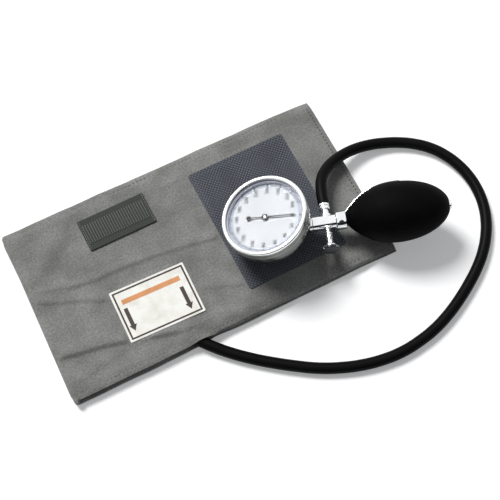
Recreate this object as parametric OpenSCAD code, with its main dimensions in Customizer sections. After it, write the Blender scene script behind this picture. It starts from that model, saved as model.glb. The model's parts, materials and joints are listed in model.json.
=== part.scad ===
// Aneroid sphygmomanometer: folded arm cuff, hose, gauge head, neck with release valve,
// finger spoon and hand bulb, laid out as it rests on a table. Millimetres, +Z up.
// The origin is the centre of the cuff's underside, +X runs along the folded cuff.

/* [Cuff] */
// Length of the folded cuff
cuff_len = 260; // [252:1:275]
// Width of the cuff, as worn along the arm
cuff_w = 140; // [136:1:150]
// Thickness of one cuff layer where it holds the bladder
layer_t = 4.6; // [4.5:0.1:5]
// Thickness of one cuff layer at its sewn end
end_layer_t = 2.1; // [1.8:0.1:2.4]
// Gap between the two layers
layer_gap = 0.8; // [0.6:0.1:1]
// Length of the thin sewn end
sewn_end_len = 30; // [24:1:34]

/* [Bladder] */
// Length of the inflation bladder
bladder_len = 220; // [190:1:224]
// Width of the inflation bladder
bladder_w = 112; // [100:1:116]
// Thickness of the flat bladder
bladder_t = 2; // [1.6:0.1:2.2]

/* [Fastener and label] */
// Length of the hook patch along the cuff
patch_len = 80; // [70:1:84]
// Width of the hook patch across the cuff
patch_w = 104; // [90:1:112]
// Thickness of the hook patch
patch_t = 0.8; // [0.6:0.1:0.9]
// Length of the ribbed strap
strap_len = 54; // [44:1:60]
// Width of the ribbed strap
strap_w = 26; // [20:1:30]
// Thickness of the ribbed strap's woven base
strap_t = 1.2; // [1:0.1:1.6]
// Height of the strap's ribs above its base
rib_h = 0.6; // [0.4:0.1:0.8]
// Number of ribs on the strap
rib_count = 21; // [15:1:23]
// Length of the sewn label
label_len = 59; // [50:1:64]
// Width of the sewn label
label_w = 42; // [34:1:46]
// Thickness of the sewn label
label_t = 0.5; // [0.4:0.1:0.7]

/* [Gauge head] */
// Outer radius of the gauge case
case_r = 31; // [30.8:0.1:31.4]
// Wall thickness of the gauge case
case_wall = 1.2; // [1:0.1:1.4]
// Depth of the case behind the dial
case_depth = 28; // [27.5:0.1:28.2]
// Radius of the bowl's rounded back corner
bowl_r = 20; // [19:0.5:20.5]
// Radius of the bezel ring's rounded section
bezel_round = 2.2; // [2:0.1:2.4]
// Thickness of the gauge lens
lens_t = 1.6; // [1.3:0.1:1.7]
// Thickness of the dial plate
dial_t = 0.6; // [0.4:0.1:0.8]
// Length of the pointer from its spindle to its tip
pointer_len = 23.5; // [20:0.5:25]
// Tilt of the gauge head away from the neck, in degrees
head_tilt = 13.3; // [12:0.1:14]

/* [Movement] */
// Gear module of the movement
gear_m = 0.3; // [0.29:0.005:0.3]
// Thickness of the sector plate
sector_t = 0.8; // [0.6:0.1:1]
// Thickness of each movement plate
plate_t = 1; // [0.8:0.1:1.1]
// Radius of the movement plates
plate_r = 23; // [22.5:0.1:24]
// Radius of the pressure capsule
capsule_r = 16; // [14:0.5:17]
// Thickness of the pressure capsule
capsule_t = 3.4; // [3:0.1:3.6]
// Reach of the rocking shaft's lift arm
lift_arm = 8.5; // [8:0.1:9]

/* [Neck] */
// Radius of the neck tube
neck_r = 5.3; // [5.2:0.05:5.5]
// Length of the neck tube ahead of the valve station, towards the gauge
neck_front = 13.2; // [12.5:0.1:13.5]
// Length of the neck tube from the valve station to the collar
neck_back = 7.2; // [7:0.1:8]
// Radius of the spoon collar
collar_r = 6.8; // [6.7:0.05:7.2]
// Length of the spoon collar
collar_len = 7.2; // [6.5:0.1:7.6]
// Radius of the air bores
air_r = 1.5; // [1:0.1:1.7]

/* [Release valve and hose barb] */
// Radius of the release knob's rim
knob_r = 6; // [5:0.1:6.5]
// Length of the release knob's rim along its axis
knob_len = 3.2; // [2.5:0.1:4]
// Number of grip flutes on the release knob
knob_flutes = 24; // [16:1:30]
// Radius of the valve barrel
barrel_r = 2.9; // [2.7:0.1:3.2]
// Radius of the hose barb's flange
flange_r = 4.1; // [3.8:0.1:4.6]

/* [Bulb and spoon] */
// Largest outer radius of the bulb
bulb_r = 22.5; // [21.5:0.1:22.6]
// Length of the bulb between the two ends of its full egg shape
bulb_len = 78; // [76:1:80]
// Wall thickness of the bulb
bulb_wall = 2.6; // [2:0.1:3.2]
// Thickness of the finger spoon's sheet
spoon_t = 1.1; // [0.9:0.1:1.2]
// Gap between the bulb and the finger spoon
spoon_gap = 0.7; // [0.5:0.1:0.8]
// Arc of the finger spoon round the bulb, in degrees
spoon_arc = 120; // [100:5:130]

/* [Hose] */
// Outer diameter of the hose
hose_d = 8.5; // [8:0.1:8.8]

/* [Hidden] */
$fn = 96;
small_fn = 32;
run_gap = 0.03;
slip_gap = 0.05;
seat_gap = 0.1;

cuff_t = 2 * layer_t + layer_gap;
cuff_end_t = 2 * end_layer_t + layer_gap;
sewn_x = cuff_len / 2 - sewn_end_len;
fold_x = -cuff_len / 2 + cuff_t / 2;
bladder_z = cuff_t - layer_t / 2;
bladder_x = -8;
cloth_gap = 0.3;
patch_inset = 33;
patch_x = cuff_len / 2 - patch_inset - patch_len / 2;
strap_pos = [-47, 42];
label_pos = [-48, -29];
strap_band = 5;
hem = 2;

handset_inset = 41.7;
handset_edge = 34;
handset_x = cuff_len / 2 - handset_inset;
handset_y = handset_edge - cuff_w / 2;
handset_heading = -20;
handset_roll = -5.2;
gauge_back = 43.8;
gauge_up = 20.3;
rest_gap = 0.25;
first_rise = 5;
second_rise = 4.5;

rim_z = 2.6;
lens_z = rim_z + seat_gap;
bezel_lip_z = lens_z + lens_t + slip_gap;
bezel_mid = case_r - 1;
bezel_z = bezel_lip_z - 1.15;
bezel_skirt = 3.5;
ledge_z = -3;
ledge_t = 1.2;
straight_wall = 8;
inner_r = case_r - case_wall;
floor_z = -case_depth + case_wall;
boss_r = neck_r + 0.4;
boss_in = 31;
boss_top = -18.2;
spigot_r = 3.5;
tip_r = 2.2;
tip_in = 37;
dial_turn = -11;

top_plate_z = -3.2;
bottom_plate_z = -8;
post_ring_r = 20;
post_r = 1.7;
foot_z = -22;
foot_r = 2.6;
post_angles = [60, 180, 300];
spindle_r = 0.6;
spindle_top = 1.2;
collet_r = 1.35;
pivot_r = 0.4;
axle_r = 0.5;
screw_r = 0.8;
sector_z = -5.8;
pinion_teeth = 12;
sector_teeth = 108;
pinion_pr = gear_m * pinion_teeth / 2;
sector_pr = gear_m * sector_teeth / 2;
gear_centre = pinion_pr + sector_pr;
sector_x = -lift_arm;
sector_y = sqrt(gear_centre * gear_centre - sector_x * sector_x);
mesh_angle = atan2(-sector_y, -sector_x);
tooth_angle = 360 / sector_teeth;
pointer_travel = 337.5;
sector_travel = pointer_travel * pinion_teeth / sector_teeth;
sector_start = -sector_travel / 2;
sector_side_teeth = 7;
pressure_angle = 25;
backlash = 0.06;
mesh_teeth = ceil(sector_travel / 2 / tooth_angle);
mesh_offset = mesh_teeth - sector_travel / 2 / tooth_angle;
pinion_start = mesh_angle + 180 + (0.5 - mesh_offset) * 360 / pinion_teeth;
rocker_z = -10.2;
rocker_travel = 14.4;
tail_pin_r = 0.4;
tail_reach = (sector_z + sector_t / 2 - rocker_z) * sin(rocker_travel / 2) / sin(sector_travel / 2);
tail_y = sector_y + tail_reach;
lift_tip_r = 0.5;
lift_tip_z = rocker_z - lift_arm * sin(rocker_travel / 2) - lift_tip_r;
capsule_top = -13.4;
capsule_bottom = capsule_top - capsule_t;
block_top = capsule_bottom - 0.6;
block_r = 6.4;
inlet_r = 1;
duct_len = 4.2;

flange_y = 10;
flange_len = 5.2;
nipple_len = 13;
nipple_r = 2.6;
barb_neck_r = 2.8;
stem_r = 1.8;
stem_in = 2.2;
needle_in = 2.4;
barrel_y = 9.4;
barrel_len = 4.4;
needle_r = 0.8;
shank_r = 1.6;
knob_gap = 0.5;
waist_r = 3;
knob_y = barrel_y + barrel_len + knob_gap;
rim_y = knob_y + 2 * waist_r - 0.4;

collar_end = neck_back + collar_len;
collar_bore = neck_r + 0.75;
collar_seat_r = neck_r - 0.3;
bulb_start = collar_end + seat_gap + spoon_t + spoon_gap;
bulb_blunt = 2.7;
bulb_nipple_r = 4.2;
pear_start = 0.1;
pear_draw = 0.45;
pear_power = 2.3;
nipple_end = 27;
bulb_mid = bulb_start + bulb_len / 2 - bulb_blunt;
bulb_tip = bulb_mid + bulb_len / 2;
intake_r = 2.9;
intake_flange_r = 3.8;
ball_r = 1.5;
cage_r = ball_r + 0.2;
ball_travel = 0.8;
outlet_seat = nipple_end - 7;
intake_in = 9;
cap_len = 1.6;
intake_ball_in = cap_len + 0.2;
spoon_mid = -42;
spoon_tip = bulb_mid + 16;
screw_angle = 134;
spoon_grow = spoon_gap + spoon_t;
end_slope = atan((cuff_t - cuff_end_t) / sewn_end_len);

hose_r = hose_d / 2;
hose_sides = 12;
hose_steps = 2;
tunnel_r = hose_r + 0.3;
tunnel_wall = 1;
hose_route = [
    [93.6, -21.8, 24.4],
    [97.6, -11, 23.4],
    [102.8, -1.8, 21.7],
    [110.6, 5.3, 18.6],
    [120.2, 10.4, 15],
    [131, 13.6, 11.6],
    [142.5, 14.8, 8.6],
    [154.5, 13.8, 6.2],
    [166, 10.6, 4.8],
    [177, 5.6, 4.3],
    [187, -1.2, 4.3],
    [195.8, -9.8, 4.3],
    [202.4, -20, 4.3],
    [206.9, -31.4, 4.3],
    [209.2, -43.6, 4.3],
    [209.1, -56.2, 4.3],
    [206.6, -69, 4.3],
    [201.6, -81.4, 4.3],
    [194.6, -92.6, 4.3],
    [185.8, -102.8, 4.3],
    [175.6, -111.6, 4.3],
    [164, -119.6, 4.3],
    [151.4, -127, 4.3],
    [138, -133.6, 4.3],
    [123.8, -138.8, 4.3],
    [109, -142, 4.3],
    [93.6, -143.4, 4.3],
    [78, -142.2, 4.3],
    [62.6, -138.8, 4.3],
    [47.6, -133.4, 4.3],
    [33.4, -126.4, 4.3],
    [19.8, -117.6, 4.3],
    [6.6, -108, 4.3],
    [-6.2, -97.6, 4.3],
    [-18.2, -86.4, 4.6],
    [-27.4, -76.4, 5.2],
    [-35, -66.6, 5.6]
];
route_last = len(hose_route) - 1;
route_cuff = [260, 140];
route_shift = [(cuff_len - route_cuff[0]) / 2, (route_cuff[1] - cuff_w) / 2];
hose_line = [
    for (i = [0 : route_last])
        hose_route[i] + [route_shift[0] * (1 - i / route_last), route_shift[1], 0]
];
hose_end = hose_line[route_last];
hose_in = hose_line[route_last - 1];
tunnel_heading = atan2(hose_end[1] - hose_in[1], hose_end[0] - hose_in[0]);
port_len = 15;
port_r = 4;
port_gap = 0.3;

cloth_colour = [0.5, 0.5, 0.48];
patch_colour = [0.26, 0.27, 0.32];
strap_colour = [0.2, 0.22, 0.19];
label_colour = [0.95, 0.94, 0.9];
chrome_colour = [0.8, 0.81, 0.83];
brass_colour = [0.78, 0.64, 0.34];
rubber_colour = [0.06, 0.06, 0.06];
dial_colour = [0.94, 0.96, 0.98];
glass_colour = [0.85, 0.92, 0.95, 0.35];

// Height of the handset's origin that seats the gauge bowl on the hook patch.
function handset_height(rise) =
    let (level = cos(rise) * cos(handset_roll) * cos(head_tilt) - sin(rise) * sin(head_tilt))
    let (bowl = bowl_r + (case_depth - bowl_r) * level + (case_r - bowl_r) * sqrt(1 - level * level))
    cuff_t + patch_t + rest_gap + bowl + gauge_back * sin(rise) - gauge_up * cos(rise) * cos(handset_roll);

// Gap that a rise leaves between the finger spoon's egg and the cuff's sewn end.
function spoon_clearance(rise) =
    let (up = [sin(end_slope), 0, cos(end_slope)])
    let (neck = [cos(rise) * cos(handset_heading), cos(rise) * sin(handset_heading), sin(rise)])
    let (middle = [handset_x, handset_y, handset_height(rise)] + bulb_mid * neck)
    let (lean = neck * up, long_half = bulb_len / 2 + spoon_grow, round_half = bulb_r + spoon_grow)
    (middle - [sewn_x, 0, cuff_t]) * up
    - sqrt(pow(long_half * lean, 2) + pow(round_half, 2) * (1 - lean * lean));

// The rise of the neck that rests the bowl on the patch and the spoon on the sewn end.
handset_rise = first_rise + (second_rise - first_rise)
    * (rest_gap - spoon_clearance(first_rise)) / (spoon_clearance(second_rise) - spoon_clearance(first_rise));
handset_pos = [handset_x, handset_y, handset_height(handset_rise)];

// Places a shape given in the handset's frame: +X along the neck towards the bulb,
// +Y along the hose barb, with the release valve and barb at the origin.
module on_handset() {
    translate(handset_pos) rotate([handset_roll, -handset_rise, handset_heading]) children();
}

// Places a shape given in the gauge's frame: the dial face is z = 0, +Z points out
// of the dial and +X towards the neck.
module on_gauge() {
    on_handset() translate([-gauge_back, 0, gauge_up]) rotate([0, -head_tilt, 0]) children();
}

// Turns the gauge's frame back to the handset's, inside on_gauge().
module neck_in_gauge() {
    rotate([0, head_tilt, 0]) translate([gauge_back, 0, -gauge_up]) children();
}

// A cylinder along +X from x1 to x2.
module rod_x(x1, x2, r) {
    translate([x1, 0, 0]) rotate([0, 90, 0]) cylinder(h = x2 - x1, r = r);
}

// A cylinder along +Y from y1 to y2.
module rod_y(y1, y2, r) {
    translate([0, y1, 0]) rotate([-90, 0, 0]) cylinder(h = y2 - y1, r = r);
}

// A cylinder along +Z from z1 to z2.
module rod_z(z1, z2, r) {
    translate([0, 0, z1]) cylinder(h = z2 - z1, r = r);
}

// A flat ring.
module ring_z(z1, z2, r_out, r_in) {
    difference() {
        rod_z(z1, z2, r_out);
        rod_z(z1 - 1, z2 + 1, r_in);
    }
}

// A flat block with rounded corners.
module pad(size, r) {
    translate([r - size[0] / 2, -size[1] / 2, 0]) cube([size[0] - 2 * r, size[1], size[2]]);
    translate([-size[0] / 2, r - size[1] / 2, 0]) cube([size[0], size[1] - 2 * r, size[2]]);
    for (sx = [-1, 1], sy = [-1, 1]) {
        translate([sx * (size[0] / 2 - r), sy * (size[1] / 2 - r), 0]) cylinder(h = size[2], r = r);
    }
}

// The passage where the hose goes in between the two layers.
module hose_passage(r, extra) {
    translate(hose_end) rotate([0, 0, tunnel_heading]) rod_x(-30, extra, r);
}

// Side outline of the folded cuff, x across and z up.
module cuff_outline() {
    difference() {
        union() {
            translate([fold_x, cuff_t / 2]) circle(r = cuff_t / 2);
            polygon([
                [fold_x, 0], [cuff_len / 2, 0], [cuff_len / 2, cuff_end_t],
                [sewn_x, cuff_t], [fold_x, cuff_t]
            ]);
        }
        translate([fold_x, cuff_t / 2]) circle(r = layer_gap / 2);
        polygon([
            [fold_x, layer_t], [sewn_x, layer_t], [cuff_len / 2 + 1, end_layer_t],
            [cuff_len / 2 + 1, end_layer_t + layer_gap], [sewn_x, layer_t + layer_gap],
            [fold_x, layer_t + layer_gap]
        ]);
    }
}

module bladder_blank(grow) {
    translate([bladder_x, 0, bladder_z - bladder_t / 2 - grow])
        pad([bladder_len + 2 * grow, bladder_w + 2 * grow, bladder_t + 2 * grow], 12);
    hose_port(port_r + grow, grow);
}

// Moulded stub of the bladder that takes the hose.
module hose_port(r, grow) {
    translate(hose_end) rotate([0, 0, tunnel_heading]) rod_x(port_gap - grow, port_len + grow, r);
}

module cuff_cover() {
    color(cloth_colour) difference() {
        union() {
            translate([0, cuff_w / 2, 0]) rotate([90, 0, 0]) linear_extrude(cuff_w) cuff_outline();
            intersection() {
                hose_passage(tunnel_r + tunnel_wall, port_len - 2);
                translate([-cuff_len / 2, -cuff_w / 2, cuff_t / 2]) cube([cuff_len, cuff_w, cuff_t]);
            }
        }
        bladder_blank(cloth_gap);
        hose_passage(tunnel_r, port_gap);
    }
}

module bladder() {
    color(rubber_colour) bladder_blank(0);
}

module hook_patch() {
    color(patch_colour) translate([patch_x, 0, cuff_t]) pad([patch_len, patch_w, patch_t], 1);
}

module ribbed_strap() {
    rib_pitch = (strap_len - 2 * hem) / rib_count;
    color(strap_colour) translate([strap_pos[0], strap_pos[1], cuff_t]) {
        pad([strap_len, strap_w, strap_t], 1);
        for (i = [0 : rib_count - 1]) {
            translate([hem - strap_len / 2 + i * rib_pitch, strap_band - strap_w / 2, strap_t])
                cube([rib_pitch * 0.6, strap_w - 2 * strap_band, rib_h]);
        }
    }
}

module label() {
    color(label_colour) translate([label_pos[0], label_pos[1], cuff_t]) pad([label_len, label_w, label_t], 1);
}

function unit(v) = v / norm(v);

// Centripetal-style smooth curve through four points, at t from 0 to 1.
function smooth(a, b, c, d, t) =
    0.5 * (2 * b + (c - a) * t + (2 * a - 5 * b + 4 * c - d) * t * t + (3 * b - 3 * c + d - a) * t * t * t);

function route_end(p, i) = i < 0 ? 2 * p[0] - p[1] : i >= len(p) ? 2 * p[len(p) - 1] - p[len(p) - 2] : p[i];

function hose_points(p, steps) = [
    for (i = [0 : len(p) - 2], k = [0 : steps - 1])
        smooth(route_end(p, i - 1), p[i], p[i + 1], route_end(p, i + 2), k / steps),
    p[len(p) - 1]
];

function hose_ring(p, dir, r, n) =
    let (side = unit(cross([0, 0, 1], dir)), up = unit(cross(dir, side)))
    [for (k = [0 : n - 1]) p + r * (cos(360 * k / n) * side + sin(360 * k / n) * up)];

// Sweeps a round tube along the points.
module swept_tube(p, r, n) {
    last = len(p) - 1;
    dirs = [for (i = [0 : last]) unit(p[min(i + 1, last)] - p[max(i - 1, 0)])];
    points = [for (i = [0 : last]) each hose_ring(p[i], dirs[i], r, n)];
    walls = [
        for (i = [0 : last - 1], k = [0 : n - 1])
            [i * n + k, i * n + (k + 1) % n, (i + 1) * n + (k + 1) % n, (i + 1) * n + k]
    ];
    start_cap = [for (k = [0 : n - 1]) n - 1 - k];
    end_cap = [for (k = [0 : n - 1]) last * n + k];
    polyhedron(points = points, faces = concat([start_cap], walls, [end_cap]), convexity = 8);
}

module hose() {
    color(rubber_colour) swept_tube(hose_points(hose_line, hose_steps), hose_r, hose_sides);
}

// Outline of the case back: a straight wall that rounds into a flat bottom.
module bowl_outline(r, depth, round_r) {
    translate([0, -depth]) square([r - round_r, depth]);
    translate([0, -straight_wall]) square([r, straight_wall]);
    intersection() {
        translate([r - round_r, -depth + round_r]) circle(r = round_r);
        translate([r - round_r, -depth]) square([round_r, depth]);
    }
}

module gauge_case() {
    inner_round = bowl_r - case_wall;
    color(chrome_colour) on_gauge() difference() {
        union() {
            rotate_extrude() bowl_outline(case_r, case_depth, bowl_r);
            rod_z(0, rim_z, case_r);
            neck_in_gauge() rod_x(-boss_in, -neck_front - seat_gap, boss_r);
        }
        difference() {
            union() {
                rotate_extrude() bowl_outline(inner_r, case_depth - case_wall, inner_round);
                rod_z(-1, rim_z + 1, inner_r);
            }
            ring_z(ledge_z - ledge_t, ledge_z, inner_r + 1, inner_r - 1.4);
            at_posts() rod_z(floor_z - 1, foot_z, foot_r);
            intersection() {
                neck_in_gauge() rod_x(-boss_in, -neck_front - seat_gap, boss_r);
                translate([0, -boss_r, floor_z - 1]) cube([case_r, 2 * boss_r, boss_top - floor_z + 1]);
            }
        }
        neck_in_gauge() rod_x(-boss_in - 1, 0, spigot_r + slip_gap);
    }
}

module bezel_ring() {
    color(chrome_colour) on_gauge() rotate_extrude() difference() {
        union() {
            translate([bezel_mid, bezel_z]) circle(r = bezel_round);
            translate([bezel_mid, -bezel_skirt]) square([bezel_round, bezel_skirt + bezel_z]);
        }
        translate([bezel_mid - 3, -bezel_skirt - 1])
            square([case_r + slip_gap - bezel_mid + 3, bezel_skirt + 1 + bezel_lip_z]);
    }
}

module lens() {
    color(glass_colour) on_gauge() rod_z(lens_z, lens_z + lens_t, case_r - 0.3);
}

module lens_gasket() {
    color(rubber_colour) on_gauge() ring_z(0, lens_z, inner_r - slip_gap, inner_r - 1.8);
}

module dial_plate() {
    color(dial_colour) on_gauge() ring_z(-dial_t, 0, inner_r - slip_gap, 1.2);
}

module dial_ring() {
    color(brass_colour) on_gauge() ring_z(ledge_z, -dial_t, inner_r - slip_gap, inner_r - 3.2);
}

// Bolt and post positions shared by the two movement plates.
module at_posts() {
    for (a = post_angles) rotate([0, 0, a]) translate([post_ring_r, 0, 0]) children();
}

module plate_blank(z) {
    intersection() {
        rod_z(z, z + plate_t, plate_r);
        union() {
            for (a = post_angles) {
                rotate([0, 0, a]) translate([0, -7, z - 1]) cube([plate_r + 1, 14, plate_t + 2]);
            }
            rod_z(z - 1, z + plate_t + 1, 15);
            translate([sector_x, sector_y, z - 1]) cylinder(h = plate_t + 2, r = 4);
            translate([sector_x - 5, 0, z - 1]) cube([10, plate_r, plate_t + 2]);
        }
    }
}

module top_plate() {
    color(brass_colour) on_gauge() difference() {
        plate_blank(top_plate_z);
        rod_z(top_plate_z - 1, 0, spindle_r + run_gap);
        translate([sector_x, sector_y, 0]) rod_z(top_plate_z - 1, 0, pivot_r + run_gap);
        at_posts() rod_z(top_plate_z - 1, 0, screw_r + slip_gap);
    }
}

module bottom_plate() {
    lug_low = rocker_z - 1.4;
    color(brass_colour) on_gauge() difference() {
        union() {
            plate_blank(bottom_plate_z);
            for (y = [-3.6, tail_y + 1.6]) {
                translate([-lift_arm - 1.5, y - 0.6, lug_low]) cube([3, 1.2, bottom_plate_z - lug_low + 0.5]);
            }
        }
        rod_z(bottom_plate_z - 1, 0, pivot_r + run_gap);
        translate([sector_x, sector_y, 0]) rod_z(bottom_plate_z - 1, 0, pivot_r + run_gap);
        translate([-lift_arm - 2, tail_y - 1.2, bottom_plate_z - 1]) cube([4, 2.2, plate_t + 2]);
        translate([-lift_arm, 0, rocker_z]) rod_y(-6, tail_y + 4, axle_r + run_gap);
        at_posts() rod_z(bottom_plate_z - 1, 0, screw_r + slip_gap);
    }
}

module plate_pillars() {
    color(brass_colour) on_gauge() at_posts()
        ring_z(bottom_plate_z + plate_t, top_plate_z, post_r, screw_r + slip_gap);
}

module frame_posts() {
    color(brass_colour) on_gauge() at_posts() difference() {
        rod_z(foot_z, bottom_plate_z, post_r);
        rod_z(bottom_plate_z - 4, bottom_plate_z + 1, screw_r + slip_gap);
    }
}

module pillar_screws() {
    head_z = top_plate_z + plate_t;
    color(brass_colour) on_gauge() at_posts() {
        rod_z(bottom_plate_z - 3.5, head_z, screw_r);
        difference() {
            rod_z(head_z, head_z + 0.8, 1.5);
            translate([-2, -0.2, head_z + 0.4]) cube([4, 0.4, 1]);
        }
    }
}

// Angle of an involute at radius r above its base circle.
function involute_turn(base, r) =
    let (ratio = r <= base ? 1 : base / r, a = acos(ratio)) tan(a) * 180 / PI - a;

// Half of a tooth's angle at radius r.
function half_tooth(pitch_r, teeth, r) =
    let (base = pitch_r * cos(pressure_angle))
    90 / teeth - backlash / pitch_r * 90 / PI + involute_turn(base, pitch_r) - involute_turn(base, r);

// One tooth that points along +X, from its root to its tip.
module gear_tooth(pitch_r, teeth) {
    root = pitch_r - 1.15 * gear_m;
    tip = pitch_r + 0.9 * gear_m;
    steps = 5;
    radii = [for (i = [0 : steps]) root + (tip - root) * i / steps];
    polygon(concat(
        [[root - 0.3, 0]],
        [for (r = radii) r * [cos(half_tooth(pitch_r, teeth, r)), -sin(half_tooth(pitch_r, teeth, r))]],
        [
            for (i = [steps : -1 : 0])
                let (h = half_tooth(pitch_r, teeth, radii[i])) radii[i] * [cos(h), sin(h)]
        ]
    ));
}

module pinion() {
    low = bottom_plate_z;
    color(brass_colour) on_gauge() {
        rod_z(low, low + plate_t + 0.2, pivot_r);
        rod_z(low + plate_t + 0.1, spindle_top, spindle_r);
        rod_z(low + plate_t + 0.15, low + plate_t + 0.65, collet_r);
        rotate([0, 0, pinion_start]) translate([0, 0, sector_z - 0.6]) linear_extrude(sector_t + 1.2) {
            circle(r = pinion_pr - 1.1 * gear_m);
            for (i = [0 : pinion_teeth - 1]) {
                rotate(i * 360 / pinion_teeth) gear_tooth(pinion_pr, pinion_teeth);
            }
        }
    }
}

module pointer() {
    z = spindle_top + slip_gap;
    hub_r = 2.4;
    tail_at = 12.4;
    color("black") on_gauge() rotate([0, 0, dial_turn]) {
        difference() {
            rod_z(0.5, z + 0.75, hub_r);
            rod_z(0, z, spindle_r + 0.01);
        }
        translate([0, 0, z]) linear_extrude(0.3) {
            polygon([
                [0, -0.7], [pointer_len - 4.5, -0.3], [pointer_len - 3.6, -0.75], [pointer_len, -0.08],
                [pointer_len, 0.08], [pointer_len - 3.6, 0.75], [pointer_len - 4.5, 0.3], [0, 0.7]
            ]);
            translate([-tail_at, -0.45]) square([tail_at, 0.9]);
            translate([-tail_at, 0]) circle(r = 1.7);
        }
    }
}

// Flat spiral spring round the pinion's spindle, anchored on the bottom plate.
module hairspring() {
    turns = 3.5;
    leaf = 0.12;
    r_in = collet_r + leaf + run_gap;
    pitch = 0.9;
    steps = 70;
    z = bottom_plate_z + plate_t + 0.2;
    at = [for (i = [0 : steps]) 360 * turns * i / steps];
    color(brass_colour) on_gauge() translate([0, 0, z]) {
        linear_extrude(0.4) polygon(concat(
            [for (i = [0 : steps]) (r_in + pitch * at[i] / 360 - leaf) * [cos(at[i]), sin(at[i])]],
            [for (i = [steps : -1 : 0]) (r_in + pitch * at[i] / 360 + leaf) * [cos(at[i]), sin(at[i])]]
        ));
        translate([-(r_in + pitch * turns), 0, -0.2]) cylinder(h = 0.7, r = 0.5);
    }
}

module sector_gear() {
    web = 1.4;
    rim = 2.2;
    reach = sector_pr - 1.1 * gear_m;
    half_span = (sector_side_teeth + 0.6) * tooth_angle;
    color(brass_colour) on_gauge() translate([sector_x, sector_y, 0])
    rotate([0, 0, mesh_angle + sector_start]) {
        translate([0, 0, sector_z]) linear_extrude(sector_t) difference() {
            union() {
                difference() {
                    circle(r = reach);
                    circle(r = reach - rim);
                    for (s = [0, 1]) {
                        rotate((2 * s - 1) * half_span) translate([-reach - 1, (s - 1) * (2 * reach + 2)])
                            square(2 * reach + 2);
                    }
                    translate([-reach - 1, -reach - 1]) square([reach + 1, 2 * reach + 2]);
                }
                for (i = [-sector_side_teeth : sector_side_teeth]) {
                    rotate(i * tooth_angle) gear_tooth(sector_pr, sector_teeth);
                }
                for (s = [-1, 1]) {
                    rotate(s * (half_span - tooth_angle)) translate([0, -web / 2])
                        square([reach - rim / 2, web]);
                }
                circle(r = 1.5);
                rotate(90 - mesh_angle) translate([0, -1.3]) square([tail_reach + 1.3, 2.6]);
            }
            rotate(90 - mesh_angle) translate([tail_reach - tail_pin_r - 0.25, -tail_pin_r - 0.13])
                square([tail_pin_r * 2 + 2, 2 * tail_pin_r + 0.26]);
        }
        rod_z(bottom_plate_z, bottom_plate_z + plate_t + 0.1, pivot_r);
        rod_z(bottom_plate_z + plate_t + 0.1, top_plate_z - 0.1, 0.8);
        rod_z(top_plate_z - 0.2, top_plate_z + plate_t, pivot_r);
    }
}

module rocking_shaft() {
    color(brass_colour) on_gauge() translate([-lift_arm, 0, rocker_z]) rotate([0, rocker_travel / 2, 0]) {
        rod_y(-4.2, tail_y + 2.2, axle_r);
        rod_y(-2.8, tail_y + 0.8, 0.8);
        translate([0, -0.8, -0.35]) cube([lift_arm, 1.6, 0.7]);
        translate([lift_arm, 0, 0]) rod_y(-0.8, 0.8, lift_tip_r);
        translate([0, tail_y, 0]) rod_z(0, sector_z - rocker_z + 1.4, tail_pin_r);
    }
}

// Corrugated pressure capsule: two rippled discs joined at their rim.
module capsule() {
    ripples = 3;
    edge = capsule_r - 1.2;
    pitch = (edge - 3.8) / ripples;
    half = capsule_t / 2;
    color(brass_colour) on_gauge() translate([0, 0, capsule_bottom + half]) difference() {
        union() {
            rod_z(-0.3, 0.3, capsule_r);
            rod_z(-half + 0.4, half - 0.4, capsule_r - 0.8);
            for (i = [0 : ripples - 1]) {
                ring_z(-half + 0.1, half - 0.1, edge - i * pitch, edge - (i + 0.5) * pitch);
            }
            rod_z(-half, half, 3.4);
        }
        rod_z(-half + 1, half - 1, capsule_r - 2);
        rod_z(-half - 1, -half + 1.5, inlet_r);
    }
}

module capsule_post() {
    top = lift_tip_z - 0.1;
    color(brass_colour) on_gauge() {
        rod_z(capsule_top, capsule_top + 0.5, 2.6);
        rod_z(capsule_top, top, 1.2);
    }
}

module inlet_block() {
    color(brass_colour) on_gauge() difference() {
        union() {
            rod_z(floor_z, block_top, block_r);
            rod_z(block_top - 0.1, capsule_bottom, 3);
        }
        neck_in_gauge() rod_x(-tip_in - 0.3, 0, tip_r + slip_gap);
        neck_in_gauge() rod_x(-boss_in - slip_gap, 0, boss_r + 0.2);
        neck_in_gauge() translate([-tip_in - 0.2, 0, 0]) sphere(r = air_r);
        rod_z(capsule_bottom - duct_len, capsule_bottom + 1, inlet_r);
    }
}

module neck_tube() {
    color(chrome_colour) on_handset() difference() {
        union() {
            rod_x(-neck_front, neck_back, neck_r);
            rod_x(-boss_in, -neck_front, spigot_r);
            rod_x(-tip_in, -boss_in, tip_r);
            rod_x(neck_back, collar_end, collar_seat_r);
            rod_x(collar_end, nipple_end, bulb_nipple_r);
            rod_y(0, neck_r + 0.6, flange_r);
            rod_y(-neck_r - 0.5, 0, barrel_r);
        }
        rod_x(-tip_in - 1, outlet_seat, air_r - 0.5);
        rod_x(outlet_seat, nipple_end + 1, cage_r);
        rod_y(0, neck_r + 2, 2 + slip_gap);
        rod_y(-neck_r - 2, -stem_in, stem_r);
        rod_y(-3, 0, needle_r + slip_gap);
    }
}

module hose_barb() {
    color(chrome_colour) on_handset() difference() {
        union() {
            rod_y(neck_r - 2, neck_r + 0.7, 2);
            rod_y(neck_r + 0.6, flange_y, barb_neck_r);
            rod_y(flange_y, flange_y + flange_len, flange_r);
            rod_y(flange_y + flange_len, flange_y + flange_len + nipple_len, nipple_r);
            for (i = [0 : 2]) {
                translate([0, flange_y + flange_len + 2.4 + 3.6 * i, 0]) rotate([-90, 0, 0])
                    cylinder(h = 2.2, r1 = nipple_r + 0.5, r2 = nipple_r);
            }
        }
        rod_y(0, flange_y + flange_len + nipple_len + 1, air_r - 0.3);
    }
}

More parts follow.
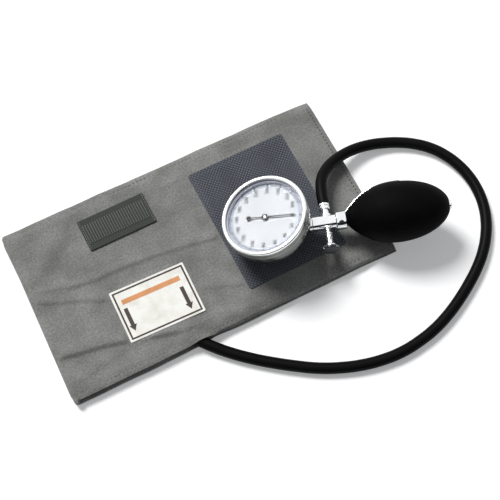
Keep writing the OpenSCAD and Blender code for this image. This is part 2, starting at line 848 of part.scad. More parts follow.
module valve_barrel() {
    color(chrome_colour) on_handset() difference() {
        union() {
            rod_y(-barrel_y, -stem_in, stem_r - slip_gap);
            rod_y(-barrel_y - barrel_len, -barrel_y, barrel_r);
        }
        rod_y(-barrel_y - barrel_len - 1, -barrel_y, shank_r + run_gap);
        rod_y(-barrel_y - 1, 0, needle_r + run_gap);
        translate([0, -barrel_y - 1.2, 0]) rod_z(0, 4, 0.5);
    }
}

module valve_needle() {
    color(chrome_colour) on_handset() {
        rod_y(-knob_y - 2, -needle_in, needle_r);
        translate([0, -needle_in, 0]) rotate([-90, 0, 0]) cylinder(h = 0.9, r1 = needle_r, r2 = 0.3);
    }
}

// Knurled thumb screw with a ball waist and a flared rim.
module release_knob() {
    color(chrome_colour) on_handset() difference() {
        union() {
            rod_y(-knob_y, -barrel_y - 0.3, shank_r);
            translate([0, -knob_y - waist_r + 0.2, 0]) sphere(r = waist_r);
            rod_y(-rim_y - knob_len, -rim_y, knob_r);
            translate([0, -rim_y - knob_len, 0]) rotate([90, 0, 0])
                cylinder(h = 0.7, r1 = knob_r, r2 = knob_r - 1);
        }
        rod_y(-knob_y - 2.5, 0, needle_r + run_gap);
        for (i = [0 : knob_flutes - 1]) {
            rotate([0, i * 360 / knob_flutes, 0]) translate([knob_r + 0.25, 0, 0])
                rod_y(-rim_y - knob_len - 1, -rim_y + 1, 0.5, $fn = small_fn);
        }
        translate([0, -rim_y + 2.4, 0]) rotate([90, 0, 0]) difference() {
            cylinder(h = 3.6, r = knob_r - 1);
            cylinder(h = 3.6, r = waist_r - 0.8);
        }
    }
}

module spoon_collar() {
    color(chrome_colour) on_handset() difference() {
        rod_x(neck_back + slip_gap, collar_end, collar_r);
        rod_x(neck_back - 1, collar_end + 1, collar_bore);
        rotate([screw_angle, 0, 0]) translate([neck_back + collar_len / 2, 0, 0]) rod_y(0, 10, 1.25);
    }
}

module collar_screw() {
    middle = neck_back + collar_len / 2;
    color(chrome_colour) on_handset() rotate([screw_angle, 0, 0]) translate([middle, 0, 0]) difference() {
        union() {
            rod_y(collar_seat_r, collar_r, 1.2);
            rod_y(collar_r + slip_gap, collar_r + 0.7, 2);
            rod_y(collar_r - 0.5, collar_r + 0.3, 1.2);
        }
        translate([-3, collar_r + 0.4, -0.25]) cube([6, 1, 0.5]);
    }
}

// Radius of the bulb's pear shape at x, grown by a clearance: an egg drawn in towards the neck.
function egg(x, grow) =
    let (t = (x - bulb_mid) / (bulb_len / 2 + grow))
    let (drawn = pear_draw * pow(max(0, -t - pear_start), pear_power))
    (bulb_r + grow) * sqrt(max(0, 1 - t * t)) * (1 - drawn);

// A band of revolution about the neck axis that follows the bulb from x1 to x2.
module egg_profile(x1, x2, grow, steps) {
    polygon(concat(
        [[0, x1]],
        [for (i = [0 : steps]) let (x = x1 + (x2 - x1) * i / steps) [egg(x, grow), x]],
        [[0, x2]]
    ));
}

// Turns a revolve about +Z into one about +X.
module about_x() {
    rotate([0, 90, 0]) children();
}

module finger_spoon() {
    inner = collar_seat_r + slip_gap;
    outer = collar_bore - slip_gap;
    side = bulb_r + 4;
    tip_round = 23.5;
    color(chrome_colour) on_handset() rotate([spoon_mid, 0, 0]) intersection() {
        about_x() rotate([0, 0, 90 - spoon_arc / 2]) rotate_extrude(angle = spoon_arc) difference() {
            union() {
                egg_profile(collar_end + seat_gap, spoon_tip, spoon_grow, 24);
                translate([0, neck_back + 0.5]) square([outer, collar_len]);
            }
            egg_profile(bulb_start - spoon_gap, spoon_tip + 1, spoon_gap, 24);
            translate([0, neck_back]) square([inner, bulb_start - neck_back]);
        }
        union() {
            translate([neck_back, 0, -side]) cube([spoon_tip - tip_round - neck_back, side, 2 * side]);
            translate([spoon_tip - tip_round, 0, 0]) rod_y(0, side, tip_round);
        }
    }
}

module bulb() {
    hollow_start = nipple_end + 3;
    color(rubber_colour) on_handset() difference() {
        about_x() rotate_extrude() egg_profile(bulb_start, bulb_tip - 1, 0, 36);
        about_x() rotate_extrude() egg_profile(hollow_start, bulb_tip - intake_in, -bulb_wall, 24);
        rod_x(bulb_start - 1, nipple_end + 0.4, bulb_nipple_r + slip_gap);
        rod_x(nipple_end, hollow_start + 1, bulb_nipple_r - 1);
        rod_x(bulb_tip - intake_in - 3, bulb_tip + 1, intake_r + slip_gap);
    }
}

module outlet_ball() {
    color("silver") on_handset() translate([outlet_seat + ball_r, 0, 0]) sphere(r = ball_r);
}

module outlet_cage() {
    start = outlet_seat + 2 * ball_r + ball_travel + 0.2;
    color(brass_colour) on_handset() difference() {
        rod_x(start, start + cap_len, cage_r - slip_gap);
        for (a = [0, 120, 240]) rotate([a, 0, 0]) translate([start - 1, 0, 1]) rod_x(0, 4, 0.4);
    }
}

module intake_body() {
    inner = bulb_tip - intake_in;
    color(chrome_colour) on_handset() difference() {
        union() {
            rod_x(inner, bulb_tip - 1, intake_r);
            rod_x(bulb_tip - 1 + slip_gap, bulb_tip + 1, intake_flange_r);
            rod_x(bulb_tip - 2, bulb_tip, intake_r);
        }
        rod_x(inner - 1, inner + intake_ball_in + 2 * ball_r + ball_travel + seat_gap, cage_r);
        rod_x(inner, bulb_tip + 2, 0.9);
    }
}

module intake_ball() {
    inner = bulb_tip - intake_in;
    color("silver") on_handset() translate([inner + intake_ball_in + ball_r, 0, 0]) sphere(r = ball_r);
}

module intake_cap() {
    inner = bulb_tip - intake_in;
    color(brass_colour) on_handset() difference() {
        rod_x(inner + 0.1, inner + 0.1 + cap_len, cage_r - slip_gap);
        for (a = [0, 120, 240]) rotate([a, 0, 0]) translate([inner - 1, 0, 1]) rod_x(0, 4, 0.4);
    }
}

cuff_cover();
bladder();
hook_patch();
ribbed_strap();
label();
hose();
gauge_case();
bezel_ring();
lens();
lens_gasket();
dial_plate();
dial_ring();
top_plate();
bottom_plate();
plate_pillars();
frame_posts();
pillar_screws();
pinion();
pointer();
hairspring();
sector_gear();
rocking_shaft();
capsule();
capsule_post();
inlet_block();
neck_tube();
hose_barb();
valve_barrel();
valve_needle();
release_knob();
spoon_collar();
collar_screw();
finger_spoon();
bulb();
outlet_ball();
outlet_cage();
intake_body();
intake_ball();
intake_cap();
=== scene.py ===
"""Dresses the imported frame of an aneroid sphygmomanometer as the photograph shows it.

Every length is in millimetres until it reaches Blender, which works in metres. The
handset (gauge, neck, valve, spoon and bulb) is modelled in its own frame, with +X along
the neck towards the bulb, and the gauge in a second one, with +Z out of the dial.
"""

import json
import logging
import math
from dataclasses import dataclass
from enum import Enum
from typing import Any, Callable, Sequence

import bmesh
import bpy
from mathutils import Matrix, Vector, noise

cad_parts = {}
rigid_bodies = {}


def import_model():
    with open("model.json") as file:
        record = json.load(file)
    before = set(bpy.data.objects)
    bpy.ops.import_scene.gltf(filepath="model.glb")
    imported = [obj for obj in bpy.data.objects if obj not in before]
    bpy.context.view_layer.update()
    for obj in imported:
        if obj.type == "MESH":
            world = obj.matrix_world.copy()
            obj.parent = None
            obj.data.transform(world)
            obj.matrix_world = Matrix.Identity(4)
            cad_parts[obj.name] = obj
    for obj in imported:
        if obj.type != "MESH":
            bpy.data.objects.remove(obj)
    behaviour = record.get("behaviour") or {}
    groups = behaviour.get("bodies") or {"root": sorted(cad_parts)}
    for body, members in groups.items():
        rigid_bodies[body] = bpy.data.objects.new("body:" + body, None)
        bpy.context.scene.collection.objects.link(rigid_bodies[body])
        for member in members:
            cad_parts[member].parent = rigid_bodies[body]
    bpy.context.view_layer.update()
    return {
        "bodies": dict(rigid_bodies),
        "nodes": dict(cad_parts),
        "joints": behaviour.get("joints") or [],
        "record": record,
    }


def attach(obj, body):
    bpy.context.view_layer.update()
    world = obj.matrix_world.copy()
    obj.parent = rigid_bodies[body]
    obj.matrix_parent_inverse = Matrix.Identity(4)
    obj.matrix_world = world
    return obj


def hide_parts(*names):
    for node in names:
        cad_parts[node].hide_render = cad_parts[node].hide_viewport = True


LOG = logging.getLogger("scene")
MM = 0.001
WELD = 0.0005 * MM  # points nearer to each other than this are one
WAVE = 0.314  # a wave texture of scale 1 repeats after this length
ROOT = "cuff_and_handset"
SPINDLE = "pointer_spindle"
Pair = tuple[float, float]
Triple = tuple[float, float, float]
Outline = Sequence[tuple[float, ...]]
Piece = bpy.types.Object


def turn(angle: float, axis: str) -> Matrix:
    """Rotation matrix for an angle in degrees."""
    return Matrix.Rotation(math.radians(angle), 4, axis)


def shift(x: float, y: float, z: float) -> Matrix:
    """Translation matrix for millimetres."""
    return Matrix.Translation(Vector((x, y, z)) * MM)


# Where the handset lies: its turn on the floor, its dip towards the bulb and its roll.
HANDSET = shift(88.3, -36, 25.5572) @ turn(-20, "Z") @ turn(-4.6553, "Y") @ turn(-5.2, "X")
# Where the dial lies: over the neck's end that is away from the bulb, and tilted against it.
GAUGE = HANDSET @ shift(-43.8, 0, 20.3) @ turn(-13.3, "Y")
ALONG_NECK = HANDSET @ turn(90, "Y")
ALONG_BARB = HANDSET @ turn(-90, "X")
ALONG_VALVE = HANDSET @ turn(90, "X")


class Slot(Enum):
    """The record's material slots."""

    CLOTH = "cloth"
    PATCH = "patch"
    STRAP = "strap"
    LABEL = "label"
    RUBBER = "rubber"
    CHROME = "chrome"
    STEEL = "steel"
    BRASS = "brass"
    GLASS = "glass"
    DIAL = "dial"
    BLACK = "black"


def linear(code: str, alpha: float = 1.0) -> tuple[float, float, float, float]:
    """Turns an sRGB hex colour to linear.

    Args:
        code: Six hex digits.
        alpha: Fourth channel of the result.

    Returns:
        Linear red, green and blue, and alpha.
    """
    parts = [int(code[i : i + 2], 16) / 255 for i in (0, 2, 4)]
    low, high = zip(*((c / 12.92, ((c + 0.055) / 1.055) ** 2.4) for c in parts))
    return tuple(h if c > 0.04045 else s for c, s, h in zip(parts, low, high)) + (alpha,)


def add_node(tree: Any, kind: str, settings: dict | None = None, links: dict | None = None) -> Any:
    """Adds a node with its settings and links.

    Args:
        tree: Node tree that takes the node.
        kind: Node type's name after "ShaderNode".
        settings: Properties, or input sockets by name or number, with their values.
        links: Input sockets by name or number, with the output that feeds each.

    Returns:
        The new node.
    """
    node = tree.nodes.new("ShaderNode" + kind)
    for key, value in (settings or {}).items():
        if isinstance(key, str) and hasattr(node, key):
            setattr(node, key, value)
        else:
            node.inputs[key].default_value = value
    for key, source in (links or {}).items():
        tree.links.new(source, node.inputs[key])
    return node


def ramp(tree: Any, source: Any, stops: Sequence[tuple[float, str]]) -> Any:
    """Maps a value to colours.

    Args:
        tree: Node tree that takes the ramp.
        source: The value's socket.
        stops: Place and hex colour of each stop.

    Returns:
        The colour's socket.
    """
    node = add_node(tree, "ValToRGB", {}, {"Fac": source})
    for place, _ in stops[2:]:
        node.color_ramp.elements.new(place)
    for stop, (place, code) in zip(node.color_ramp.elements, stops):
        stop.position, stop.color = place, linear(code)
    return node.outputs["Color"]


def unit(value: float) -> float:
    """Keeps a value between 0 and 1."""
    return max(0.0, min(1.0, value))


@dataclass(frozen=True)
class Finish:
    """A surface: what it is made of and how its material is drawn."""

    name: str
    colour: str
    roughness: float

    def material(self) -> bpy.types.Material:
        """Gives the finish's material, which is made the first time.

        Returns:
            The material.
        """
        made = bpy.data.materials.get(self.name)
        if not made:
            made = bpy.data.materials.new(self.name)
            made.use_nodes = True
            shader = made.node_tree.nodes["Principled BSDF"]
            shader.inputs["Base Color"].default_value = linear(self.colour)
            shader.inputs["Roughness"].default_value = self.roughness
            made.diffuse_color = linear(self.colour)
            self.draw(made.node_tree, shader)
        return made

    def draw(self, tree: Any, shader: Any) -> None:
        """Adds what the finish shows beyond its colour. Each kind has its own."""

    def millimetres(self, tree: Any, uv: str = "", spin: float = 0.0) -> Any:
        """Gives pattern coordinates in millimetres.

        Args:
            tree: The material's node tree.
            uv: The UV map to read, or nothing for object coordinates.
            spin: Turn of the pattern about Z, in degrees.

        Returns:
            The output socket with the coordinates.
        """
        if uv:
            source = add_node(tree, "UVMap", {"uv_map": uv}).outputs["UV"]
        else:
            source = add_node(tree, "TexCoord").outputs["Object"]
        size = {"Scale": (1 / MM,) * 3, "Rotation": (0, 0, math.radians(spin))}
        return add_node(tree, "Mapping", size, {"Vector": source}).outputs["Vector"]

    def speckle(self, tree: Any, where: Any, size: float, detail: float = 3.0) -> Any:
        """Noise whose blots are about a size in millimetres; returns its socket."""
        settings = {"Scale": 1 / size, "Detail": detail}
        return add_node(tree, "TexNoise", settings, {"Vector": where}).outputs["Fac"]

    def weave(self, tree: Any, where: Any, pitch: float, wobble: float) -> Any:
        """Draws rows both ways.

        Args:
            tree: The material's node tree.
            where: Socket with the coordinates.
            pitch: Distance from one row to the next, in millimetres.
            wobble: How uneven the rows are.

        Returns:
            Socket with the rows' height.
        """
        settings = {"Scale": WAVE / pitch, "Distortion": wobble}
        links = {"Vector": where}
        rows = [add_node(tree, "TexWave", dict(settings, bands_direction=way), links) for way in "XY"]
        both = {i: row.outputs["Fac"] for i, row in enumerate(rows)}
        return add_node(tree, "Math", {"operation": "MULTIPLY"}, both).outputs["Value"]

    def relief(self, tree: Any, shader: Any, height: Any, depth: float, strength: float) -> None:
        """Adds a bump.

        Args:
            tree: The material's node tree.
            shader: The node that takes the bump.
            height: Socket with the height, from 0 to 1.
            depth: Depth of the relief in millimetres.
            strength: Share of the bump that is kept.
        """
        settings = {"Strength": strength, "Distance": depth * MM}
        bump = add_node(tree, "Bump", settings, {"Height": height})
        tree.links.new(bump.outputs["Normal"], shader.inputs["Normal"])


@dataclass(frozen=True)
class Cotton(Finish):
    """Washed plain-weave cotton: soft, dull, faded in patches."""

    faded: str = "959592"
    deep: str = "80807c"
    thread: float = 1.1  # wider apart than real threads, which are too fine to show

    def draw(self, tree: Any, shader: Any) -> None:
        """Weave along the cloth, with wash marks and a little sheen.

        Args:
            tree: The material's node tree.
            shader: Its surface node.
        """
        where = self.millimetres(tree, "Weave")
        blots = self.speckle(tree, where, 24, 6)
        fade = ramp(tree, blots, [(0.36, self.deep), (0.5, self.colour), (0.64, self.faded)])
        flecks = self.speckle(tree, where, 1.5, 2)
        grain = ramp(tree, flecks, [(0.3, "c4c4c4"), (0.7, "ffffff")])
        mixed = {"Color1": fade, "Color2": grain}
        worn = add_node(tree, "MixRGB", {"blend_type": "MULTIPLY", "Fac": 0.8}, mixed)
        tree.links.new(worn.outputs["Color"], shader.inputs["Base Color"])
        self.relief(tree, shader, self.weave(tree, where, self.thread, 0.4), 0.25, 0.5)
        shader.inputs["Sheen Weight"].default_value = 0.2
        shader.inputs["Specular IOR Level"].default_value = 0.2


@dataclass(frozen=True)
class HookTape(Finish):
    """Nylon hook tape: a dull tight base whose hooks catch the light as specks."""

    speck: str = "6c717b"
    worn: str = "303238"
    rows: float = 2.0  # the rows are a little wider apart than real ones, to show

    def draw(self, tree: Any, shader: Any) -> None:
        """Diagonal rows of specks on a mottled base.

        Args:
            tree: The material's node tree.
            shader: Its surface node.
        """
        dots = self.weave(tree, self.millimetres(tree, spin=45), self.rows, 2.2)
        blots = self.speckle(tree, self.millimetres(tree), 30, 2)
        base = ramp(tree, blots, [(0.35, self.worn), (0.65, self.colour)])
        lit = add_node(tree, "MixRGB", {"Color2": linear(self.speck)}, {"Fac": dots, "Color1": base})
        tree.links.new(lit.outputs["Color"], shader.inputs["Base Color"])
        self.relief(tree, shader, dots, 0.3, 0.6)


@dataclass(frozen=True)
class Webbing(Finish):
    """Ribbed nylon webbing: a dark base; the raised ribs take a paler copy, which is painted highlight."""

    pale: str = "84887f"
    thread: float = 1.0  # wider apart than real threads too

    def draw(self, tree: Any, shader: Any) -> None:
        """Woven flecks in both directions.

        Args:
            tree: The material's node tree.
            shader: Its surface node.
        """
        weave = self.weave(tree, self.millimetres(tree), self.thread, 0.8)
        tint = ramp(tree, weave, [(0.1, self.colour), (0.9, self.pale)])
        tree.links.new(tint, shader.inputs["Base Color"])
        self.relief(tree, shader, weave, 0.25, 0.6)


@dataclass(frozen=True)
class Satin(Finish):
    """Woven polyester satin: fine weft lines and a faint gloss."""

    thread: float = 0.9  # wider apart than real weft lines too

    def draw(self, tree: Any, shader: Any) -> None:
        """Weft lines across the satin, and a trace of soil.

        Args:
            tree: The material's node tree.
            shader: Its surface node.
        """
        where = self.millimetres(tree)
        settings = {"bands_direction": "Y", "Scale": WAVE / self.thread, "Distortion": 0.5}
        weft = add_node(tree, "TexWave", settings, {"Vector": where}).outputs["Fac"]
        soil = ramp(tree, self.speckle(tree, where, 9), [(0.3, "ecebe6"), (0.6, "ffffff")])
        settings = {"blend_type": "MULTIPLY", "Fac": 1.0, "Color2": linear(self.colour)}
        tint = add_node(tree, "MixRGB", settings, {"Color1": soil})
        tree.links.new(tint.outputs["Color"], shader.inputs["Base Color"])
        self.relief(tree, shader, weft, 0.1, 0.3)


@dataclass(frozen=True)
class Rubber(Finish):
    """Moulded black rubber: matt, with a fine grain and a trace of bloom."""

    bloom: str = "08080a"
    grain: float = 0.8
    gloss: float = 0.08

    def draw(self, tree: Any, shader: Any) -> None:
        """Grain and a pale bloom in patches.

        Args:
            tree: The material's node tree.
            shader: Its surface node.
        """
        where = self.millimetres(tree)
        bloom = self.speckle(tree, where, 14, 5)
        tint = ramp(tree, bloom, [(0.4, self.colour), (0.75, self.bloom)])
        tree.links.new(tint, shader.inputs["Base Color"])
        self.relief(tree, shader, self.speckle(tree, where, self.grain, 2), 0.05, 0.5)
        shader.inputs["Specular IOR Level"].default_value = self.gloss


@dataclass(frozen=True)
class Metal(Finish):
    """Plated or turned metal: smooth, with faint wipe marks in its gloss."""

    tarnish: str = "dcdee1"
    wipe: float = 12.0

    def draw(self, tree: Any, shader: Any) -> None:
        """Slightly uneven colour and gloss.

        Args:
            tree: The material's node tree.
            shader: Its surface node.
        """
        where = self.millimetres(tree)
        marks = self.speckle(tree, where, self.wipe, 4)
        tint = ramp(tree, marks, [(0.35, self.tarnish), (0.6, self.colour)])
        tree.links.new(tint, shader.inputs["Base Color"])
        spread = {"To Min": self.roughness * 0.7, "To Max": self.roughness * 1.5}
        gloss = add_node(tree, "MapRange", spread, {"Value": marks})
        tree.links.new(gloss.outputs["Result"], shader.inputs["Roughness"])
        shader.inputs["Metallic"].default_value = 1.0


@dataclass(frozen=True)
class Clear(Finish):
    """Clear polished acrylic sheet, seen as a thin gloss over what is under it."""

    cover: float = 0.06

    def draw(self, tree: Any, shader: Any) -> None:
        """Lets most of the light straight through.

        Args:
            tree: The material's node tree.
            shader: Its surface node.
        """
        where = self.millimetres(tree)
        haze = {"To Min": self.roughness * 0.6, "To Max": self.roughness * 1.6}
        gloss = add_node(tree, "MapRange", haze, {"Value": self.speckle(tree, where, 5)})
        tree.links.new(gloss.outputs["Result"], shader.inputs["Roughness"])
        shader.inputs["Alpha"].default_value = self.cover
        shader.inputs["IOR"].default_value = 1.49


@dataclass(frozen=True)
class Enamel(Finish):
    """Baked enamel or printing ink: even, with a slight orange peel."""

    shade: str = "e6ebf0"

    def draw(self, tree: Any, shader: Any) -> None:
        """A cloudy tint too faint to see as a pattern, and orange peel.

        Args:
            tree: The material's node tree.
            shader: Its surface node.
        """
        where = self.millimetres(tree)
        tint = ramp(tree, self.speckle(tree, where, 18), [(0.3, self.shade), (0.7, self.colour)])
        tree.links.new(tint, shader.inputs["Base Color"])
        self.relief(tree, shader, self.speckle(tree, where, 1.2, 1), 0.02, 0.3)


COTTON = Cotton("washed_cotton", "8b8b88", 0.95)
HOOKS = HookTape("nylon_hook_tape", "3d4046", 0.85)
WEBBING = Webbing("nylon_webbing", "20231f", 0.8, pale="4a4e46")
# The ribs' paler copy of the webbing is painted highlight: it stands in for the light that the raised ribs
# catch.
WEBBING_RIB_PAINTED_HIGHLIGHT = Webbing("nylon_webbing_rib_painted_highlight", "4d504b", 0.8, pale="787b72")
LABEL_SATIN = Satin("woven_satin_label", "f5f4ee", 0.6)
THREAD_PALE = Satin("polyester_thread_pale", "8f918c", 0.7)
# Dark thread: the patch's own thread, and at the cuff's sewn end painted shade for the shadows at the
# needle holes.
DARK_THREAD_AND_NEEDLE_SHADE = Satin("polyester_thread_dark_and_painted_needle_shade", "3b3d3c", 0.6)
PRINT_BROWN = Satin("woven_label_brown", "3a2f2a", 0.7)
PRINT_ORANGE = Satin("woven_label_orange", "dd9a66", 0.7)
HOSE_RUBBER = Rubber("extruded_black_rubber", "050505", 0.45, gloss=0.06)
BULB_RUBBER = Rubber("moulded_black_rubber", "030303", 0.6, gloss=0.035)
CHROME = Metal("polished_chrome_plate", "f8f9fa", 0.05, tarnish="eceef0")
NICKEL = Metal("brushed_nickel", "7a7c7c", 0.2, tarnish="696b6b")
SKIRT = Metal("brushed_bezel_skirt", "8d8e8a", 0.32, tarnish="7a7b77")
# Its dark colour is painted reflection: it stands in for the dark surroundings that the knob's fluted rim
# reflects. The collar screw takes it too.
KNURL_PAINTED_DARK = Metal("knurled_nickel_painted_dark", "4a4b4f", 0.3, tarnish="3c3d41")
STEEL = Metal("turned_steel", "b9bcc0", 0.22, tarnish="a6a9ad")
BRASS = Metal("turned_brass", "c9a45a", 0.25, tarnish="b18c46")
ACRYLIC = Clear("clear_acrylic", "141618", 0.04)
DIAL_WHITE = Enamel("dial_enamel", "f3f6fa", 0.7)
DIAL_BAND = Enamel("dial_scale_band", "ccd2de", 0.6, shade="c3cad8")
# The gasket is painted pale, painted light: its wall lies in the bezel's shadow and reads like the lit
# scale band.
GASKET_PAINTED_LIGHT = Enamel("gasket_painted_light", "d9dce8", 0.7, shade="cfd3e0")
DIAL_INK = Enamel("dial_ink", "1b1c20", 0.5, shade="15161a")
SATIN_BLACK = Enamel("satin_black_paint", "0e0e10", 0.55, shade="09090a")


def clear() -> None:
    """Leaves edit mode and deselects everything."""
    if bpy.context.object and bpy.context.object.mode != "OBJECT":
        bpy.ops.object.mode_set(mode="OBJECT")
    bpy.ops.object.select_all(action="DESELECT")


def pick(*pieces: Piece) -> None:
    """Selects these pieces alone.

    Args:
        pieces: What is selected; the first becomes the active one.
    """
    clear()
    for piece in pieces:
        piece.select_set(True)
    bpy.context.view_layer.objects.active = pieces[0]


def edit(piece: Piece) -> None:
    """Opens a piece in edit mode with everything selected.

    Args:
        piece: The piece.
    """
    pick(piece)
    bpy.ops.object.mode_set(mode="EDIT")
    bpy.ops.mesh.select_all(action="SELECT")


def close(piece: Piece, frame: Matrix | None = None) -> Piece:
    """Leaves edit mode and applies a place.

    Args:
        piece: The piece, modelled about the origin.
        frame: Where it goes.

    Returns:
        The piece, its place in its mesh.
    """
    pick(piece)
    if frame:
        piece.matrix_world = frame @ piece.matrix_world
    bpy.ops.object.transform_apply(location=True, rotation=True, scale=True)
    return piece


def choose(test: Callable[[Vector], bool], kind: str = "verts") -> None:
    """Selects, in edit mode, the vertices, edges or faces whose middle passes a test.

    Args:
        test: Takes a middle point in millimetres.
        kind: "verts", "edges" or "faces".
    """
    mesh = bmesh.from_edit_mesh(bpy.context.object.data)
    bpy.ops.mesh.select_all(action="DESELECT")
    mesh.select_mode = {kind[:-1].upper()}
    for part in getattr(mesh, kind):
        corners = [part] if kind == "verts" else part.verts
        middle = sum((v.co for v in corners), Vector()) / len(corners) / MM
        if test(middle):
            part.select = True
    mesh.select_flush_mode()
    bmesh.update_edit_mesh(bpy.context.object.data)


def trace(name: str, points: Outline, upright: bool) -> Piece:
    """Draws a chain of points by extruding one vertex again and again.

    Args:
        name: The new piece's name.
        points: The chain's points, in millimetres.
        upright: Draws in XZ instead of XY.

    Returns:
        The piece, still in edit mode, with the last point selected.
    """
    clear()
    bpy.ops.mesh.primitive_plane_add(size=MM)
    piece = bpy.context.object
    piece.name = piece.data.name = name
    bpy.ops.object.mode_set(mode="EDIT")
    bpy.ops.mesh.merge(type="CENTER")
    last = Vector((0, 0, 0))
    for i, (a, b) in enumerate(points):
        here = Vector((a, 0, b) if upright else (a, b, 0)) * MM
        if i:
            bpy.ops.mesh.extrude_region_move(TRANSFORM_OT_translate={"value": here - last})
        else:
            bpy.ops.transform.translate(value=here)
        last = here
    return piece


def tidy() -> None:
    """Merges doubles and turns the faces outwards, in edit mode."""
    bpy.ops.mesh.select_all(action="SELECT")
    bpy.ops.mesh.remove_doubles(threshold=WELD)
    bpy.ops.mesh.normals_make_consistent(inside=False)


def eased(outline: Outline) -> list[Pair]:
    """Rounds an outline's corners.

    Args:
        outline: Each corner's radius and height, and how much of it is rounded away, if any.

    Returns:
        The outline, with each such corner cut to a small arc.
    """
    points: list[Pair] = []
    for i, (x, y, *cut) in enumerate(outline):
        if not cut:
            points.append((x, y))
            continue
        here = Vector((x, y))
        before = here + (Vector(outline[i - 1][:2]) - here).normalized() * cut[0]
        after = here + (Vector(outline[i + 1][:2]) - here).normalized() * cut[0]
        for t in (0, 0.25, 0.5, 0.75, 1):
            point = before * (1 - t) ** 2 + here * 2 * t * (1 - t) + after * t * t
            points.append((point.x, point.y))
    return points


def lathe(name: str, outline: Outline, frame: Matrix | None = None, steps: int = 96) -> Piece:
    """Turns an outline about Z.

    Args:
        name: The new piece's name.
        outline: Radius and height of each point, in millimetres, and its rounding if it
            has one. It starts and ends on the axis, or repeats its first point.
        frame: Where the piece goes.
        steps: Steps round the axis.

    Returns:
        The finished turning.
    """
    piece = trace(name, eased(outline), upright=True)
    bpy.ops.mesh.select_all(action="SELECT")
    bpy.ops.mesh.spin(steps=steps, angle=math.tau, center=(0, 0, 0), axis=(0, 0, 1))
    tidy()
    close(piece, frame)
    return smooth(piece)


def plate(name: str, outline: Outline, low: float, high: float, frame: Matrix | None = None) -> Piece:
    """Cuts a flat plate.

    Args:
        name: The new piece's name.
        outline: Its corners in XY, in millimetres.
        low: Height of its underside.
        high: Height of its upper side.
        frame: Where it goes.

    Returns:
        The plate.
    """
    piece = trace(name, list(outline) + [outline[0]], upright=False)
    bpy.ops.mesh.select_all(action="SELECT")
    bpy.ops.mesh.remove_doubles(threshold=WELD)
    bpy.ops.mesh.select_all(action="SELECT")
    bpy.ops.mesh.edge_face_add()
    bpy.ops.transform.translate(value=(0, 0, low * MM))
    rise = {"value": (0, 0, (high - low) * MM)}
    bpy.ops.mesh.extrude_region_move(TRANSFORM_OT_translate=rise)
    tidy()
    return close(piece, frame)


def smooth(piece: Piece, angle: float = 35.0) -> Piece:
    """Shades a piece smooth.

    Args:
        piece: The piece.
        angle: Edges that turn by more than this, in degrees, stay sharp.

    Returns:
        The same piece.
    """
    pick(piece)
    bpy.ops.object.shade_smooth_by_angle(angle=math.radians(angle))
    return piece


def modify(piece: Piece, kind: str, **settings: Any) -> None:
    """Adds a modifier and applies it.

    Args:
        piece: The piece.
        kind: The modifier's type.
        settings: Its properties with their values.
    """
    pick(piece)
    modifier = piece.modifiers.new(kind.lower(), kind)
    for key, value in settings.items():
        setattr(modifier, key, value)
    bpy.ops.object.modifier_apply(modifier=modifier.name)


def combine(piece: Piece, tool: Piece, operation: str) -> None:
    """Unites a piece with a tool or cuts it, and removes the tool."""
    modify(piece, "BOOLEAN", object=tool, operation=operation, solver="EXACT")
    bpy.data.objects.remove(tool)


def join(name: str, pieces: Sequence[Piece]) -> Piece:
    """Joins pieces to one.

    Args:
        name: The new piece's name.
        pieces: What is joined.

    Returns:
        The new piece.
    """
    pick(*pieces)
    if len(pieces) > 1:
        bpy.ops.object.join()
    pieces[0].name = pieces[0].data.name = name
    return pieces[0]


def row(name: str, pitch: Vector, count: int, piece: Piece) -> None:
    """Repeats a piece along a line.

    Args:
        name: The row's name.
        pitch: Step from one to the next, in millimetres.
        count: How many there are.
        piece: The first one, which becomes the row.
    """
    steps = {"use_relative_offset": False, "use_constant_offset": True}
    modify(piece, "ARRAY", count=count, constant_offset_displace=pitch * MM, **steps)
    piece.name = piece.data.name = name


def arc(centre: Pair, radius: float, start: float, end: float, steps: int) -> list[Pair]:
    """Points of an arc about a centre, from one angle in degrees to another, both included."""
    angles = (math.radians(start + (end - start) * i / steps) for i in range(steps + 1))
    return [(centre[0] + radius * math.cos(a), centre[1] + radius * math.sin(a)) for a in angles]


def dress(piece: Piece, finish: Finish, slot: Slot, *nodes: str, body: str = ROOT) -> None:
    """Gives a new piece its material and body.

    Args:
        piece: The piece, in place.
        finish: Its finish.
        slot: The record's slot that it takes its finish from; not used.
        nodes: CAD nodes that it stands for.
        body: The CAD body that it rides on.
    """
    piece.data.materials.clear()
    piece.data.materials.append(finish.material())
    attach(piece, body)
    if nodes:
        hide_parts(*nodes)
    LOG.info("%s on %s, %s", piece.name, body, finish.name)


def repaint(frame: dict, finish: Finish, *nodes: str) -> None:
    """Gives CAD nodes that stay a finish of their own.

    Args:
        finish: Their finish.
        nodes: Their names.
    """
    for node in nodes:
        for place in frame["nodes"][node].material_slots:
            place.material = finish.material()
        LOG.info("%s kept, %s", node, finish.name)


